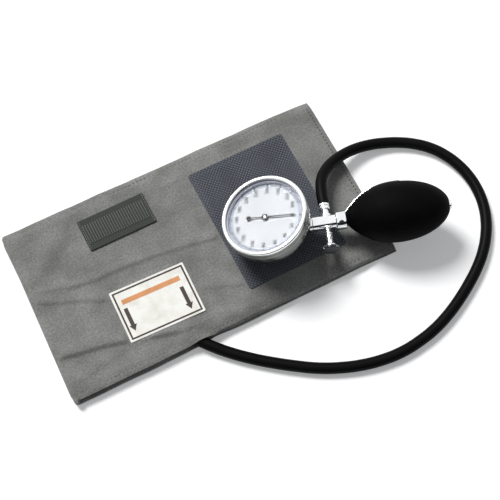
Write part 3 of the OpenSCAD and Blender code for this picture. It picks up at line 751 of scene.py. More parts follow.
@dataclass
class Studio:
    """Camera, lights and floor."""

    elevation: float = 66.5
    azimuth: float = -27.3
    distance: float = 1.013
    lens: float = 97.3
    sensor: float = 36
    target: Triple = (0.0332, -0.020, 0.0)
    toward: Triple = (-0.25, 0.83, 1.12)  # the way to the sun
    screen: Triple = (-0.05, 0.83, 1.12)  # the way to the white screen that polished metal shows
    sun: Pair = (3.1, 22)  # strength, and width in degrees
    fill: float = 0.24
    paper_glow: float = 0.23

    def camera(self) -> None:
        """Places the camera where the photograph was taken from."""
        level, about = math.radians(self.elevation), math.radians(self.azimuth)
        flat = math.cos(level)
        out = Vector((flat * math.sin(about), -flat * math.cos(about), math.sin(level)))
        spot = Vector(self.target) + out * self.distance
        bpy.ops.object.camera_add(location=spot, rotation=out.to_track_quat("Z", "Y").to_euler())
        camera = bpy.context.object
        camera.name = "camera"
        camera.data.lens = self.lens
        camera.data.sensor_width = self.sensor
        bpy.context.scene.camera = camera

    def background(self, tree: Any, lit: Any, seen: Any) -> Any:
        """Shows one thing to the camera, gloss and glass, and another to the lighting.

        Args:
            tree: The node tree.
            lit: Shader socket for the lighting.
            seen: Shader socket for what is seen.

        Returns:
            The mixed shader's socket.
        """
        path = add_node(tree, "LightPath").outputs
        first = {0: path["Is Camera Ray"], 1: path["Is Glossy Ray"]}
        either = add_node(tree, "Math", {"operation": "MAXIMUM"}, first).outputs["Value"]
        both = {0: either, 1: path["Is Transmission Ray"]}
        either = add_node(tree, "Math", {"operation": "MAXIMUM"}, both).outputs["Value"]
        return add_node(tree, "MixShader", {}, {0: either, 1: lit, 2: seen}).outputs[0]

    def world(self) -> None:
        """Plain fill light; polished metal shows a big white screen on the light's side."""
        world = bpy.data.worlds.new("studio")
        world.use_nodes = True
        bpy.context.scene.world = world
        tree = world.node_tree
        tree.nodes.clear()
        soft = add_node(tree, "Background", {"Color": linear("f7faff"), "Strength": self.fill})
        aim = add_node(tree, "TexCoord").outputs["Generated"]
        side = {"operation": "DOT_PRODUCT", 1: Vector(self.screen).normalized()}
        facing = add_node(tree, "VectorMath", side, {0: aim}).outputs["Value"]
        share = add_node(tree, "MapRange", {"From Min": -1.0}, {"Value": facing}).outputs["Result"]
        stops = [(0.22, "808285"), (0.35, "121315"), (0.53, "17181a"), (0.59, "ffffff")]
        bands = ramp(tree, share, stops)
        rich = add_node(tree, "Background", {"Strength": 1.0}, {"Color": bands})
        plain = add_node(tree, "Background", {"Color": (1, 1, 1, 1), "Strength": 1.0})
        ray = add_node(tree, "LightPath").outputs["Is Camera Ray"]
        links = {0: ray, 1: rich.outputs[0], 2: plain.outputs[0]}
        seen = add_node(tree, "MixShader", {}, links).outputs[0]
        mixed = self.background(tree, soft.outputs[0], seen)
        add_node(tree, "OutputWorld", {}, {"Surface": mixed})

    def light(self) -> None:
        """One large soft light from the photo's upper left."""
        toward = Vector(self.toward).normalized()
        aim = toward.to_track_quat("Z", "Y").to_euler()
        bpy.ops.object.light_add(type="SUN", location=toward * 2, rotation=aim)
        sun = bpy.context.object
        sun.name = "soft_sun"
        sun.data.energy = self.sun[0]
        sun.data.angle = math.radians(self.sun[1])

    def floor(self) -> None:
        """A white floor that keeps the shadows."""
        clear()
        bpy.ops.mesh.primitive_plane_add(size=6, location=(0, 0, 0))
        floor = bpy.context.object
        floor.name = "floor"
        material = bpy.data.materials.new("white_paper")
        material.use_nodes = True
        tree = material.node_tree
        tree.nodes.clear()
        paper = add_node(tree, "BsdfDiffuse", {"Color": linear("f4f4f4")})
        glow = add_node(tree, "Emission", {"Color": (1, 1, 1, 1), "Strength": self.paper_glow})
        lifted = add_node(tree, "AddShader", {}, {0: paper.outputs[0], 1: glow.outputs[0]})
        mixed = self.background(tree, paper.outputs[0], lifted.outputs[0])
        add_node(tree, "OutputMaterial", {}, {"Surface": mixed})
        floor.data.materials.append(material)

    def build(self) -> None:
        """Sets the camera, the lights and the floor."""
        self.camera()
        self.world()
        self.light()
        self.floor()
        bpy.context.scene.view_settings.view_transform = "Standard"


@dataclass
class Hose:
    """The black rubber hose, from the barb round the cuff's lower side and into it."""

    diameter: float = 8.5
    route: tuple[Triple, ...] = (
        (93.6, -21.8, 24.4), (97.6, -11, 23.4), (102.8, -1.8, 21.7), (110.6, 5.3, 18.6),
        (120.2, 10.4, 15), (131, 13.6, 11.6), (142.5, 14.8, 8.6), (154.5, 13.8, 6.2),
        (166, 10.6, 4.8), (177, 5.6, 4.3), (187, -1.2, 4.3), (195.8, -9.8, 4.3),
        (202.4, -20, 4.3), (206.9, -31.4, 4.3), (209.2, -43.6, 4.3), (209.1, -56.2, 4.3),
        (206.6, -69, 4.3), (201.6, -81.4, 4.3), (194.6, -92.6, 4.3), (185.8, -102.8, 4.3),
        (175.6, -111.6, 4.3), (164, -119.6, 4.3), (151.4, -127, 4.3), (138, -133.6, 4.3),
        (123.8, -138.8, 4.3), (109, -142, 4.3), (93.6, -143.4, 4.3), (78, -142.2, 4.3),
        (62.6, -138.8, 4.3), (47.6, -133.4, 4.3), (33.4, -126.4, 4.3), (19.8, -117.6, 4.3),
        (6.6, -108, 4.3), (-6.2, -97.6, 4.3), (-18.2, -86.4, 4.6), (-27.4, -76.4, 5.2),
        (-35, -66.6, 5.6),
    )

    def build(self) -> None:
        """Lays the hose along its route, a curve with a round section."""
        clear()
        curve = bpy.data.curves.new("rubber_hose", "CURVE")
        curve.dimensions = "3D"
        spline = curve.splines.new("BEZIER")
        spline.bezier_points.add(len(self.route) - 1)
        for knot, place in zip(spline.bezier_points, self.route):
            knot.co = Vector(place) * MM
            knot.handle_left_type = knot.handle_right_type = "AUTO"
        spline.resolution_u = 6
        curve.bevel_depth = self.diameter / 2 * MM
        curve.bevel_resolution = 10
        curve.use_fill_caps = True
        hose = bpy.data.objects.new("rubber_hose", curve)
        bpy.context.collection.objects.link(hose)
        dress(hose, HOSE_RUBBER, Slot.RUBBER, "hose")
        steps = zip(self.route, self.route[1:])
        length = sum((Vector(b) - Vector(a)).length for a, b in steps)


@dataclass
class Cuff:
    """The folded cotton cuff: one flat bag, folded in half at the photo's left."""

    length: float = 260
    width: float = 140
    layer: float = 4.6
    gap: float = 0.8
    end_layer: float = 2.1
    sewn: float = 30
    cell: float = 1.25
    seam: float = 3.5
    sunk: Pair = (1.15, 0.45)  # the stitches at the long edges and at the fold lie this deep
    from_fold: Pair = (7, 5.5)  # how far from the fold the edges' stitches start, and its own run
    skew: float = 4.0
    skew_from: float = 35  # the fold slants from here to the near corner
    drawn_in: float = 7  # the seam draws the two faces together this far in
    hem: float = 0.42  # share of the thickness that is left at the edge
    groove: Pair = (0.1, 1.1)  # the stitched line's depth, in shares of the thickness, and reach
    swell: Pair = (-1.0, 2.6)  # least and most that waves and creases raise the cloth
    waves: tuple[Triple, Triple] = ((34, 26, 1.7), (12, 14, 5.1))  # lengths, and place in the noise
    wave_height: float = 0.9
    settled: float = 0.3  # the bare cloth lies this much lower
    # Where the patch, the strap and the label keep the cloth flat: middle and half size of each.
    rooms: tuple[tuple[float, ...], ...] = ((57, 0, 40, 52), (-47, 42, 27, 13), (-48, -29, 29.5, 21))
    slack: float = 9  # the long edges wander this far in
    upper_reach: float = -0.5  # how far the upper layer's long edges go out
    far_reach: float = 1.0  # the same for the lower layer, at the far edge
    near_reach: Pair = (2.0, -1.2)  # and at the near edge, left and right of the hose
    drift: Pair = (0.5, 28)  # how far the edges wander besides, and in what length
    sag: Pair = (0.2, 2.1)  # drop of the upper layer's edges, left and right
    change: Pair = (-45, 40)  # where left starts to go over into right, and in what length
    port: Pair = (-35, -66.6)
    port_way: Pair = (-0.6128, 0.7902)
    port_size: Pair = (6, 17)  # reach of the bulge over the hose, across and along it
    lifted: Pair = (11.05, 0.5)  # upper layer at the port: middle and half thickness
    pressed: Pair = (0.42, -0.4)  # and the lower layer, whose outer face is below
    # Each crease has a height, the widths of its steep and gentle side, and a line.
    creases: tuple[tuple[float, float, float, tuple[Pair, ...]], ...] = (
        (2.3, 1.3, 6.5, ((-124, -37), (-114, -39), (-94, -43), (-78, -47), (-62, -52), (-37, -59))),
        (1.2, 1.1, 5.0, ((-95, 9), (-79, 7), (-65, 7), (-37, 5), (-10, 1), (12, -3))),
        (0.7, 1.1, 4.0, ((-122, 16), (-109, 14), (-95, 9))),
        (1.2, 1.1, 6.0, ((-128, 11), (-111, 3), (-97, -2), (-83, -10))),
        (1.2, 5.0, 9.0, ((-129, 25), (-116, 30), (-101, 40), (-86, 52))),
        (0.9, 1.6, 4.5, ((-13, -34), (0, -40), (12, -45))),
        (0.9, 3.0, 6.0, ((-34, -62), (-20, -57), (-8, -60), (4, -66))),
        (0.6, 1.5, 4.0, ((-18, 68), (4, 65))),
        (0.6, 1.5, 4.0, ((2, 52), (15, 54))),
        (0.8, 3.0, 6.0, ((-116, -58), (-104, -54), (-90, -53))),
        (0.7, 4.0, 8.0, ((-14, 28), (-2, 38), (6, 50))),
    )

    @property
    def thick(self) -> float:
        """Thickness of the folded cuff."""
        return 2 * self.layer + self.gap

    @property
    def bend(self) -> float:
        """Radius of the fold at the middle of the layer."""
        return (self.layer + self.gap) / 2

    @property
    def flat(self) -> float:
        """Length of one layer from the fold to its sewn end."""
        return self.length - self.thick / 2

    def span(self) -> float:
        """Length of the flat bag, both layers and the fold."""
        return 2 * self.flat + math.pi * self.bend

    def on_path(self, s: float) -> tuple[Vector, Vector, float]:
        """Follows the bag's middle from the upper layer's sewn end.

        Args:
            s: Distance along the flat bag from its upper end.

        Returns:
            The place in XZ, the outward direction there, and the layer's thickness.
        """
        half, right = self.length / 2, self.length / 2 - self.sewn
        fold = -half + self.thick / 2
        turned = s - self.flat
        if 0 < turned < math.pi * self.bend:
            angle = math.pi / 2 + turned / self.bend
            way = Vector((math.cos(angle), math.sin(angle)))
            return Vector((fold, self.thick / 2)) + way * self.bend, way, self.layer
        upper = turned <= 0
        x = half - s if upper else fold + turned - math.pi * self.bend
        t = max(0.0, (x - right) / self.sewn)
        thin = self.layer + (self.end_layer - self.layer) * t
        end = self.end_layer / 2 + (self.end_layer + self.gap if upper else 0)
        start = self.layer / 2 + (self.layer + self.gap if upper else 0)
        return Vector((x, start + (end - start) * t)), Vector((0, 1 if upper else -1)), thin

    def crease_rise(self, x: float, y: float) -> float:
        """Adds up how far the creases raise the cloth.

        Args:
            x: Place along the cuff, in millimetres.
            y: Place across it.

        Returns:
            The rise in millimetres.
        """
        rise = 0.0
        here = Vector((x, y))
        for height, steep, gentle, line in self.creases:
            parts = zip(line, line[1:])
            away = min((self.from_line(here, Vector(a), Vector(b)) for a, b in parts), key=abs)
            rise += height * math.exp(-((away / (gentle if away > 0 else steep)) ** 2))
        return rise

    @staticmethod
    def from_line(here: Vector, a: Vector, b: Vector) -> float:
        """Measures from a place to a line between two points.

        Args:
            here: The place.
            a: Where the line starts.
            b: Where it ends.

        Returns:
            The distance, negative on the line's right.
        """
        way, from_a = b - a, here - a
        t = unit(from_a.dot(way) / way.length_squared)
        side = way.x * from_a.y - way.y * from_a.x
        return math.copysign((from_a - way * t).length, side)

    def covered(self, x: float, y: float) -> float:
        """How far inside the sewn-on pieces a place is: 1 well inside, 0 outside."""
        inside = (min(wide - abs(x - cx), high - abs(y - cy)) for cx, cy, wide, high in self.rooms)
        return unit((max(inside) + 3) / 3)

    def swelling(self, x: float, y: float) -> float:
        """Adds soft waves to the creases, and keeps the sum within bounds.

        Args:
            x: Place along the cuff, in millimetres.
            y: Place across it.

        Returns:
            How far the cloth is raised there.
        """
        broad, fine = (noise.noise(Vector((x / a, y / b, c))) for a, b, c in self.waves)
        rise = self.crease_rise(x, y) - self.settled + self.wave_height * (broad + 0.5 * fine)
        return (1 - self.covered(x, y)) * max(self.swell[0], min(self.swell[1], rise))

    def shape(self, s: float, y: float, side: float) -> Vector:
        """Puts a point of the flat bag where the folded cuff has it.

        Args:
            s: Distance along the bag from its upper end, in millimetres.
            y: Place across the bag.
            side: 1 on the outer face, -1 on the inner one.

        Returns:
            The place in millimetres.
        """
        middle, way, thin = self.on_path(s)
        x = middle.x
        near = min(self.width / 2 - abs(y), s, self.span() - s)
        pinch = self.hem + (1 - self.hem) * math.sqrt(unit(near / self.drawn_in))
        pinch -= self.groove[0] * math.exp(-(((near - self.seam) / self.groove[1]) ** 2))
        upper = s < self.flat
        rise = self.swelling(x, y) if upper and side > 0 else 0.0
        out = side * thin * pinch / 2 + rise
        place = Vector((x, y, middle.y)) + Vector((way.x, 0, way.y)) * out
        self.wander(place, x, y, upper)
        self.over_hose(place, upper, side)
        return place

    def wander(self, place: Vector, x: float, y: float, upper: bool) -> None:
        """Moves the long edges in or out and lets them sag, and slants the fold.

        Args:
            place: The point's place so far, which is changed.
            x: Where it is along the cuff.
            y: Where it is across the cuff.
            upper: Whether it is in the upper layer.
        """
        loose = max(0.0, 1 - (self.width / 2 - abs(y)) / self.slack) ** 2
        seed = Vector((x / self.drift[1], math.copysign(3.0, y), 2.0 if upper else 7.0))
        drift = self.drift[0] * noise.noise(seed)
        right = unit((x - self.change[0]) / self.change[1])
        near = self.near_reach[0] + (self.near_reach[1] - self.near_reach[0]) * right
        reach = self.upper_reach if upper else self.far_reach if y > 0 else near
        place.y += math.copysign(loose * (reach + drift), y)
        if upper:
            place.z -= (self.sag[0] + (self.sag[1] - self.sag[0]) * right) * loose
        left = max(0.0, -x / (self.length / 2)) ** 2
        slant = max(0.0, (self.skew_from - y) / (self.skew_from + self.width / 2))
        place.x -= self.skew * left * slant

    def over_hose(self, place: Vector, upper: bool, side: float) -> None:
        """Lifts the upper layer over the hose, and presses the lower one under it.

        Args:
            place: The point's place so far, which is changed.
            upper: Whether it is in the upper layer.
            side: 1 on the outer face, -1 on the inner one.
        """
        way = Vector(self.port_way)
        away = Vector(place.xy) - Vector(self.port)
        wide, long = self.port_size
        across = away.x * way.y - away.y * way.x
        near = math.exp(-((across / wide) ** 2)) * (1 - unit((away.dot(way) - 1) / long))
        middle, half = self.lifted if upper else self.pressed
        place.z += (middle + side * half - place.z) * near

    def build(self) -> None:
        """Models the bag flat, then folds it."""
        clear()
        long, wide = self.span(), self.width
        cells = (round(long / self.cell), round(wide / self.cell))
        bpy.ops.mesh.primitive_grid_add(x_subdivisions=cells[0], y_subdivisions=cells[1], size=1)
        cuff = bpy.context.object
        cuff.name = cuff.data.name = "cotton_cuff"
        bpy.ops.object.mode_set(mode="EDIT")
        bpy.ops.transform.resize(value=(long * MM, wide * MM, 1))
        bpy.ops.object.mode_set(mode="OBJECT")
        modify(cuff, "SOLIDIFY", thickness=self.layer * MM, offset=0)
        weave = cuff.data.uv_layers.new(name="Weave")
        for loop in cuff.data.loops:
            weave.data[loop.index].uv = cuff.data.vertices[loop.vertex_index].co.xy
        for vertex in cuff.data.vertices:
            at = vertex.co / MM
            vertex.co = self.shape(long / 2 - at.x, at.y, 1 if at.z > 0 else -1) * MM
        edit(cuff)
        bpy.ops.mesh.normals_make_consistent(inside=False)
        close(cuff)
        smooth(cuff, 60)
        dress(cuff, COTTON, Slot.CLOTH, "cuff_cover")

    def stitch(self, name: str, a: Vector, b: Vector, pitch: float, thread: Finish, slot: Slot,
               bulk: float = 1.0) -> Piece:
        """Sews a row of stitches.

        Args:
            name: The row's name.
            a: Where it starts, in millimetres.
            b: Where it ends.
            pitch: Distance from one stitch to the next.
            thread: The thread's finish.
            slot: The record's slot.
            bulk: How thick the thread is, against the plain one.

        Returns:
            The row.
        """
        way = (b - a).normalized()
        count = max(2, round((b - a).length / pitch))
        clear()
        bpy.ops.mesh.primitive_uv_sphere_add(segments=8, ring_count=6, radius=0.5 * MM)
        one = bpy.context.object
        bpy.ops.object.mode_set(mode="EDIT")
        bpy.ops.transform.resize(value=(pitch * 0.6, 0.5 * bulk, 0.45 * bulk))
        aim = way.to_track_quat("X", "Z").to_matrix().to_4x4()
        close(one, Matrix.Translation((a + way * pitch / 2) * MM) @ aim)
        row(name, way * pitch, count, one)
        smooth(one, 80)
        dress(one, thread, slot)
        return one

    def sew(self) -> None:
        """Sews the cuff's edges; the sewn end's stitches follow the cloth, and their dark thread is painted
        shade for the needle holes.
        """
        half, wide = self.length / 2, self.width / 2 - self.seam
        for side, name in ((-1, "lower"), (1, "upper")):
            a = Vector((-half + self.from_fold[0], side * wide, self.thick - self.sunk[0]))
            b = Vector((half - self.sewn, side * wide, self.thick - self.sunk[0]))
            self.stitch(f"edge_stitches_{name}", a, b, 3.2, THREAD_PALE, Slot.CLOTH)
        a, b = Vector((half - self.seam, -wide, 0)), Vector((half - self.seam, wide, 0))
        # The sewn end's stitches are dark, painted shade standing in for the shadows at the needle holes.
        end = self.stitch("end_stitches_painted_shade", a, b, 3.0, DARK_THREAD_AND_NEEDLE_SHADE, Slot.CLOTH, bulk=2.0)
        for vertex in end.data.vertices:
            at = vertex.co / MM
            vertex.co.z += self.shape(half - at.x, at.y, 1).z * MM
        line = -half + self.from_fold[1]
        a = Vector((line, -wide, self.thick - self.sunk[1]))
        b = Vector((line, wide, self.thick - self.sunk[1]))
        self.stitch("fold_stitches", a, b, 3.2, THREAD_PALE, Slot.CLOTH)


@dataclass
class Trim:
    """What is sewn on the cuff: hook patch, ribbed strap and label."""

    top: float = 10.0
    patch: Triple = (80, 104, 0.8)
    patch_x: float = 57
    inset: float = 1.8  # the patch's seam lies this far inside its edge
    strap: Triple = (54, 26, 1.2)
    strap_at: Pair = (-47, 42)
    ribs: int = 25
    rib: Triple = (0.42, 0.58, 0.22)  # share of the pitch, height and rounding
    band: float = 5
    hem: float = 2
    hook_pitch: float = 2.6
    hook: Triple = (0.34, 0.2, 0.5)  # radius at foot and head, and height
    bare_edge: float = 7  # the patch's edges, left and right together, have no hooks
    under_gauge: float = 16  # nor has the place under the gauge
    label: Triple = (59, 42, 0.5)
    label_at: Pair = (-48, -29.7)
    label_turn: float = -2

    def slab(self, name: str, size: Triple, at: Pair, corner: float, spin: float = 0.0) -> Piece:
        """Cuts a thin cloth piece with soft corners and edges.

        Args:
            name: The piece's name.
            size: Its length, width and thickness.
            at: Its middle on the cuff.
            corner: Radius of its corners.
            spin: Turn on the cuff, in degrees.

        Returns:
            The piece, lying on the cuff.
        """
        long, wide, thick = (size[0] / 2, size[1] / 2, size[2])
        corners = [(long, -wide), (long, wide), (-long, wide), (-long, -wide)]
        piece = plate(name, corners, 0, thick)
        edit(piece)
        choose(lambda m: abs(m.z - thick / 2) < thick / 3, "edges")
        bpy.ops.mesh.bevel(offset=corner * MM, segments=4, affect="EDGES")
        choose(lambda m: m.z > thick * 0.9, "faces")
        bpy.ops.mesh.inset(thickness=min(0.5, thick) * MM)
        bpy.ops.transform.translate(value=(0, 0, 0.02 * MM))
        return close(piece, shift(*at, self.top) @ turn(spin, "Z"))

    def sew_patch(self, cuff: Cuff) -> None:
        """Sews the patch on all round, a little inside its edge.

        Args:
            cuff: The cuff, which has the needle and thread.
        """
        long, wide = (side / 2 - self.inset for side in self.patch[:2])
        ring = [(long, -wide), (long, wide), (-long, wide), (-long, -wide), (long, -wide)]
        middle = Vector((self.patch_x, 0, self.top + self.patch[2] + 0.1))
        for i, (a, b) in enumerate(zip(ring, ring[1:])):
            start, stop = middle + Vector((*a, 0)), middle + Vector((*b, 0))
            cuff.stitch(f"patch_stitches_{i + 1}", start, stop, 2.6, DARK_THREAD_AND_NEEDLE_SHADE, Slot.PATCH)

    def hooks(self) -> None:
        """Stands the patch's hooks in rows, modelled once and repeated."""
        pitch, (foot, head, high) = self.hook_pitch, self.hook
        clear()
        bpy.ops.mesh.primitive_cone_add(vertices=5, radius1=foot * MM, radius2=head * MM, depth=high * MM)
        hook = bpy.context.object
        bpy.ops.object.mode_set(mode="EDIT")
        choose(lambda m: m.z > 0.2, "faces")
        crook = Vector((0.25, 0.1, 0.12)) * MM
        bpy.ops.mesh.extrude_region_move(TRANSFORM_OT_translate={"value": crook})
        long, wide = self.patch[0] - self.bare_edge, self.patch[1] - self.bare_edge
        columns, lines = int(long / pitch), int(wide / pitch)
        place = shift(self.patch_x - long / 2 + 1, -wide / 2 + 1, self.top + self.patch[2] + 0.2)
        close(hook, place)
        row("hook", Vector((pitch, 0, 0)), columns, hook)
        row("hook_field", Vector((pitch / 2, pitch / 2, 0)), 2, hook)
        row("hook_field", Vector((0, pitch, 0)), lines, hook)
        edit(hook)
        under = GAUGE.translation / MM
        choose(lambda m: (m.xy - under.xy).length < self.under_gauge)
        bpy.ops.mesh.delete(type="VERT")
        close(hook)
        dress(hook, HOOKS, Slot.PATCH)

    def strap_ribs(self) -> None:
        """Weaves the strap's raised ribs."""
        share, high, soft = self.rib
        pitch = (self.strap[0] - 2 * self.hem) / self.ribs
        wide = self.strap[1] / 2 - self.band
        corners = [(0, -wide), (pitch * share, -wide), (pitch * share, wide), (0, wide)]
        rib = plate("rib", corners, 0, high)
        edit(rib)
        choose(lambda m: m.z > high * 0.9, "edges")
        bpy.ops.mesh.bevel(offset=soft * MM, segments=3, affect="EDGES")
        first = self.strap_at[0] + self.hem - self.strap[0] / 2
        place = shift(first, self.strap_at[1], self.top + self.strap[2])
        close(rib, place)
        row("strap_ribs", Vector((pitch, 0, 0)), self.ribs, rib)
        smooth(rib, 50)
        # The ribs take the paler copy of the webbing, painted highlight.
        dress(rib, WEBBING_RIB_PAINTED_HIGHLIGHT, Slot.STRAP)

    def label_print(self) -> None:
        """Weaves the label's border, arrows and band."""
        long, wide = self.label[0] / 2, self.label[1] / 2
        rim, line, ink = 3.0, 1.35, 0.04
        z = self.label[2] + ink / 2
        place = shift(*self.label_at, self.top) @ turn(self.label_turn, "Z")
        clear()
        bpy.ops.mesh.primitive_plane_add(size=1)
        border = bpy.context.object
        bpy.ops.object.mode_set(mode="EDIT")
        bpy.ops.transform.resize(value=((2 * long - rim) * MM, (2 * wide - rim) * MM, 1))
        bpy.ops.mesh.inset(thickness=line * MM)
        bpy.ops.mesh.delete(type="FACE")
        bpy.ops.mesh.select_all(action="SELECT")
        bpy.ops.transform.translate(value=(0, 0, z * MM))
        bpy.ops.mesh.extrude_region_move(TRANSFORM_OT_translate={"value": (0, 0, ink * MM)})
        tidy()
        border.name = border.data.name = "label_border"
        dress(close(border, place), PRINT_BROWN, Slot.LABEL)
        band = [(-23.5, 8.4), (22.5, 8.4), (22.5, 12.4), (-23.5, 12.4)]
        dress(plate("label_band", band, z, z + ink, place), PRINT_ORANGE, Slot.LABEL)
        arrow = [(-1.5, 9.4), (1.5, 9.4), (1.5, -4.6), (2.9, -4.6)]
        arrow += [(0, -9.6), (-2.9, -4.6), (-1.5, -4.6)]
        for name, across, up in (("left", -22.9, -4.2), ("right", 20.8, -6)):
            points = [(x + across, y + up) for x, y in arrow]
            dress(plate(f"label_arrow_{name}", points, z, z + ink, place), PRINT_BROWN, Slot.LABEL)

    def build(self, cuff: Cuff) -> None:
        """Makes the sewn-on pieces.

        Args:
            cuff: The cuff, which has the needle and thread.
        """
        patch = self.slab("hook_tape_patch", self.patch, (self.patch_x, 0), 2)
        dress(patch, HOOKS, Slot.PATCH, "hook_patch")
        self.hooks()
        self.sew_patch(cuff)
        strap = self.slab("webbing_strap", self.strap, self.strap_at, 0.8)
        dress(strap, WEBBING, Slot.STRAP, "ribbed_strap")
        self.strap_ribs()
        middle = Vector((*self.strap_at, self.top + self.strap[2] + 0.1))
        for side, name in ((-1, "left"), (1, "right")):
            at = middle + Vector((side * (self.strap[0] / 2 - 1.1), 0, 0))
            half = Vector((0, self.strap[1] / 2 - 1, 0))
            cuff.stitch(f"strap_stitches_{name}", at - half, at + half, 2.0, THREAD_PALE, Slot.STRAP)
        label = self.slab("satin_label", self.label, self.label_at, 0.8, self.label_turn)
        dress(label, LABEL_SATIN, Slot.LABEL, "label")
        self.label_print()


@dataclass
class Gauge:
    """The gauge head: case, bezel, lens, dial and pointer, and the movement's finishes."""

    case_r: float = 31
    wall: float = 1.2
    depth: float = 28
    bowl: float = 20
    boss_r: float = 5.7
    bezel_mid: float = 30.55
    bezel_round: float = 1.65
    bezel_z: float = 3.75
    lens_z: float = 2.7
    lens_t: float = 1.6
    dial_r: float = 29.75
    dial_turn: float = -11
    per_twenty: float = 22.5
    numeral_r: float = 22
    numeral_size: float = 3.8
    band_in: float = 25
    band_out: float = 29

    def case(self) -> None:
        """Spins the bowl and joins the neck's boss to it."""
        mid, inner = self.case_r - self.bowl, self.case_r - self.wall
        outline = [(0, -self.depth)] + arc((mid, self.bowl - self.depth), self.bowl, -90, 0, 20)
        outline += [(self.case_r, 2.6), (inner, 2.6), (inner, -3), (inner - 1.4, -3)]
        outline += [(inner - 1.4, -4.2), (inner, -4.2)]
        outline += arc((mid, self.bowl - self.depth), self.bowl - self.wall, 0, -90, 16)
        outline += [(0, self.wall - self.depth)]
        case = lathe("gauge_bowl", outline, GAUGE, 128)
        boss = [(0, -31), (self.boss_r, -31), (self.boss_r, -13.3, 0.5), (0, -13.3)]
        combine(case, lathe("boss", boss, ALONG_NECK, 64), "UNION")
        bore = [(0, -40), (3.55, -40), (3.55, -10), (0, -10)]
        combine(case, lathe("bore", bore, ALONG_NECK, 48), "DIFFERENCE")
        dress(smooth(case, 30), NICKEL, Slot.CHROME, "gauge_case")

    def bezel(self) -> None:
        """Spins the rounded ring that holds the lens."""
        wide, lip = self.case_r + 0.05, self.lens_z + self.lens_t + 0.05
        rise = math.degrees(math.asin((lip - self.bezel_z) / self.bezel_round))
        edge = self.bezel_mid + self.bezel_round
        outline = [(wide, 2.65), (edge - 0.3, 2.65), (edge - 0.3, 3.1), (edge, 3.2)]
        outline += arc((self.bezel_mid, self.bezel_z), self.bezel_round, 0, 180 - rise, 28)
        outline += [(wide, lip), (wide, 2.65)]
        skirt = [(wide, -3.5), (edge, -3.5, 0.2), (edge, -0.4, 0.1), (edge - 0.3, -0.3)]
        skirt += [(edge - 0.3, 0.1), (edge, 0.2, 0.1), (edge, 2.6, 0.1), (wide, 2.6), (wide, -3.5)]
        dress(lathe("bezel_skirt", skirt, GAUGE, 160), SKIRT, Slot.CHROME)
        dress(lathe("polished_bezel", outline, GAUGE, 160), CHROME, Slot.CHROME, "bezel_ring")

    def lens(self) -> None:
        """Cuts the flat lens, with polished edges."""
        low, high, wide = self.lens_z, self.lens_z + self.lens_t, self.case_r - 0.3
        outline = [(0, low), (wide, low, 0.2), (wide, high, 0.2), (0, high)]
        dress(lathe("clear_lens", outline, GAUGE, 96), ACRYLIC, Slot.GLASS, "lens")

    def ring(self, name: str, inner: float, outer: float, low: float, high: float) -> Piece:
        """Spins a flat ring in the gauge's frame."""
        outline = [(inner, low), (outer, low), (outer, high), (inner, high), (inner, low)]
        return lathe(name, outline, GAUGE, 128)

    def ticks(self, name: str, inner: float, outer: float, wide: float, count: int, step: float) -> None:
        """Prints a ring of ticks: one is drawn, then spun as copies.

        Args:
            name: The ring's name.
            inner: Radius where a tick starts.
            outer: Radius where it ends.
            wide: Its width.
            count: How many there are.
            step: Pressure from one to the next.
        """
        corners = [(inner, -wide / 2), (outer, -wide / 2), (outer, wide / 2), (inner, wide / 2)]
        tick = plate(name, corners, 0.03, 0.06)
        marks = []
        for i in range(count):
            pick(tick)
            bpy.ops.object.duplicate()
            angle = self.dial_turn - self.per_twenty * step * i / 20
            marks.append(close(bpy.context.object, GAUGE @ turn(angle, "Z")))
        bpy.data.objects.remove(tick)
        dress(join(name, marks), DIAL_INK, Slot.DIAL)

    def numerals(self) -> None:
        """Prints the plain numbers from 20 to 300."""
        made = []
        for value in range(20, 301, 20):
            clear()
            bpy.ops.object.text_add()
            text = bpy.context.object
            text.data.body = str(value)
            text.data.size = self.numeral_size * MM
            text.data.align_x, text.data.align_y = "CENTER", "CENTER"
            text.data.extrude = 0.015 * MM
            text.data.offset = 0.07 * MM
            bpy.ops.object.convert(target="MESH")
            angle = math.radians(self.dial_turn - self.per_twenty * value / 20)
            at = shift(self.numeral_r * math.cos(angle), self.numeral_r * math.sin(angle), 0.045)
            made.append(close(bpy.context.object, GAUGE @ at @ turn(self.dial_turn + 90, "Z")))
        dress(join("dial_numerals", made), DIAL_INK, Slot.DIAL)

    def dial(self) -> None:
        """Makes the dial plate and its print."""
        dial = self.ring("enamel_dial", 1.2, self.dial_r, -0.6, 0)
        dress(dial, DIAL_WHITE, Slot.DIAL, "dial_plate")
        dress(self.ring("scale_band", self.band_in, self.band_out, 0, 0.03), DIAL_BAND, Slot.DIAL)
        self.ticks("fine_ticks", 25.9, 27.7, 0.2, 151, 2)
        self.ticks("middle_ticks", 25.6, 27.9, 0.3, 31, 10)
        self.ticks("long_ticks", 25.2, 29.4, 0.62, 16, 20)
        self.numerals()

    def pointer(self) -> None:
        """Cuts the needle with its spade tip, tail and hub."""
        frame = GAUGE @ turn(self.dial_turn, "Z")
        blade = [(0, -0.62), (18.6, -0.26), (19.9, -0.8), (20.8, -0.62), (23.5, -0.06)]
        blade += [(x, -y) for x, y in reversed(blade)]
        needle = plate("blade", blade, 1.26, 1.54, frame)
        tail = plate("tail", [(-12.4, -0.45), (0, -0.45), (0, 0.45), (-12.4, 0.45)], 1.27, 1.53, frame)
        disc = [(0, 1.25), (1.75, 1.25, 0.08), (1.75, 1.55, 0.08), (0, 1.55)]
        weight = lathe("weight", disc, frame @ shift(-12.4, 0, 0), 40)
        hub = [(0.61, 0.5), (2.4, 0.5, 0.1), (2.4, 2.0, 0.35), (1.3, 2.0), (1.3, 1.3), (0.61, 1.3)]
        boss = lathe("hub", hub + [hub[0]], frame, 48)
        pointer = join("dial_pointer", [boss, needle, tail, weight])
        dress(pointer, SATIN_BLACK, Slot.BLACK, "pointer", body=SPINDLE)

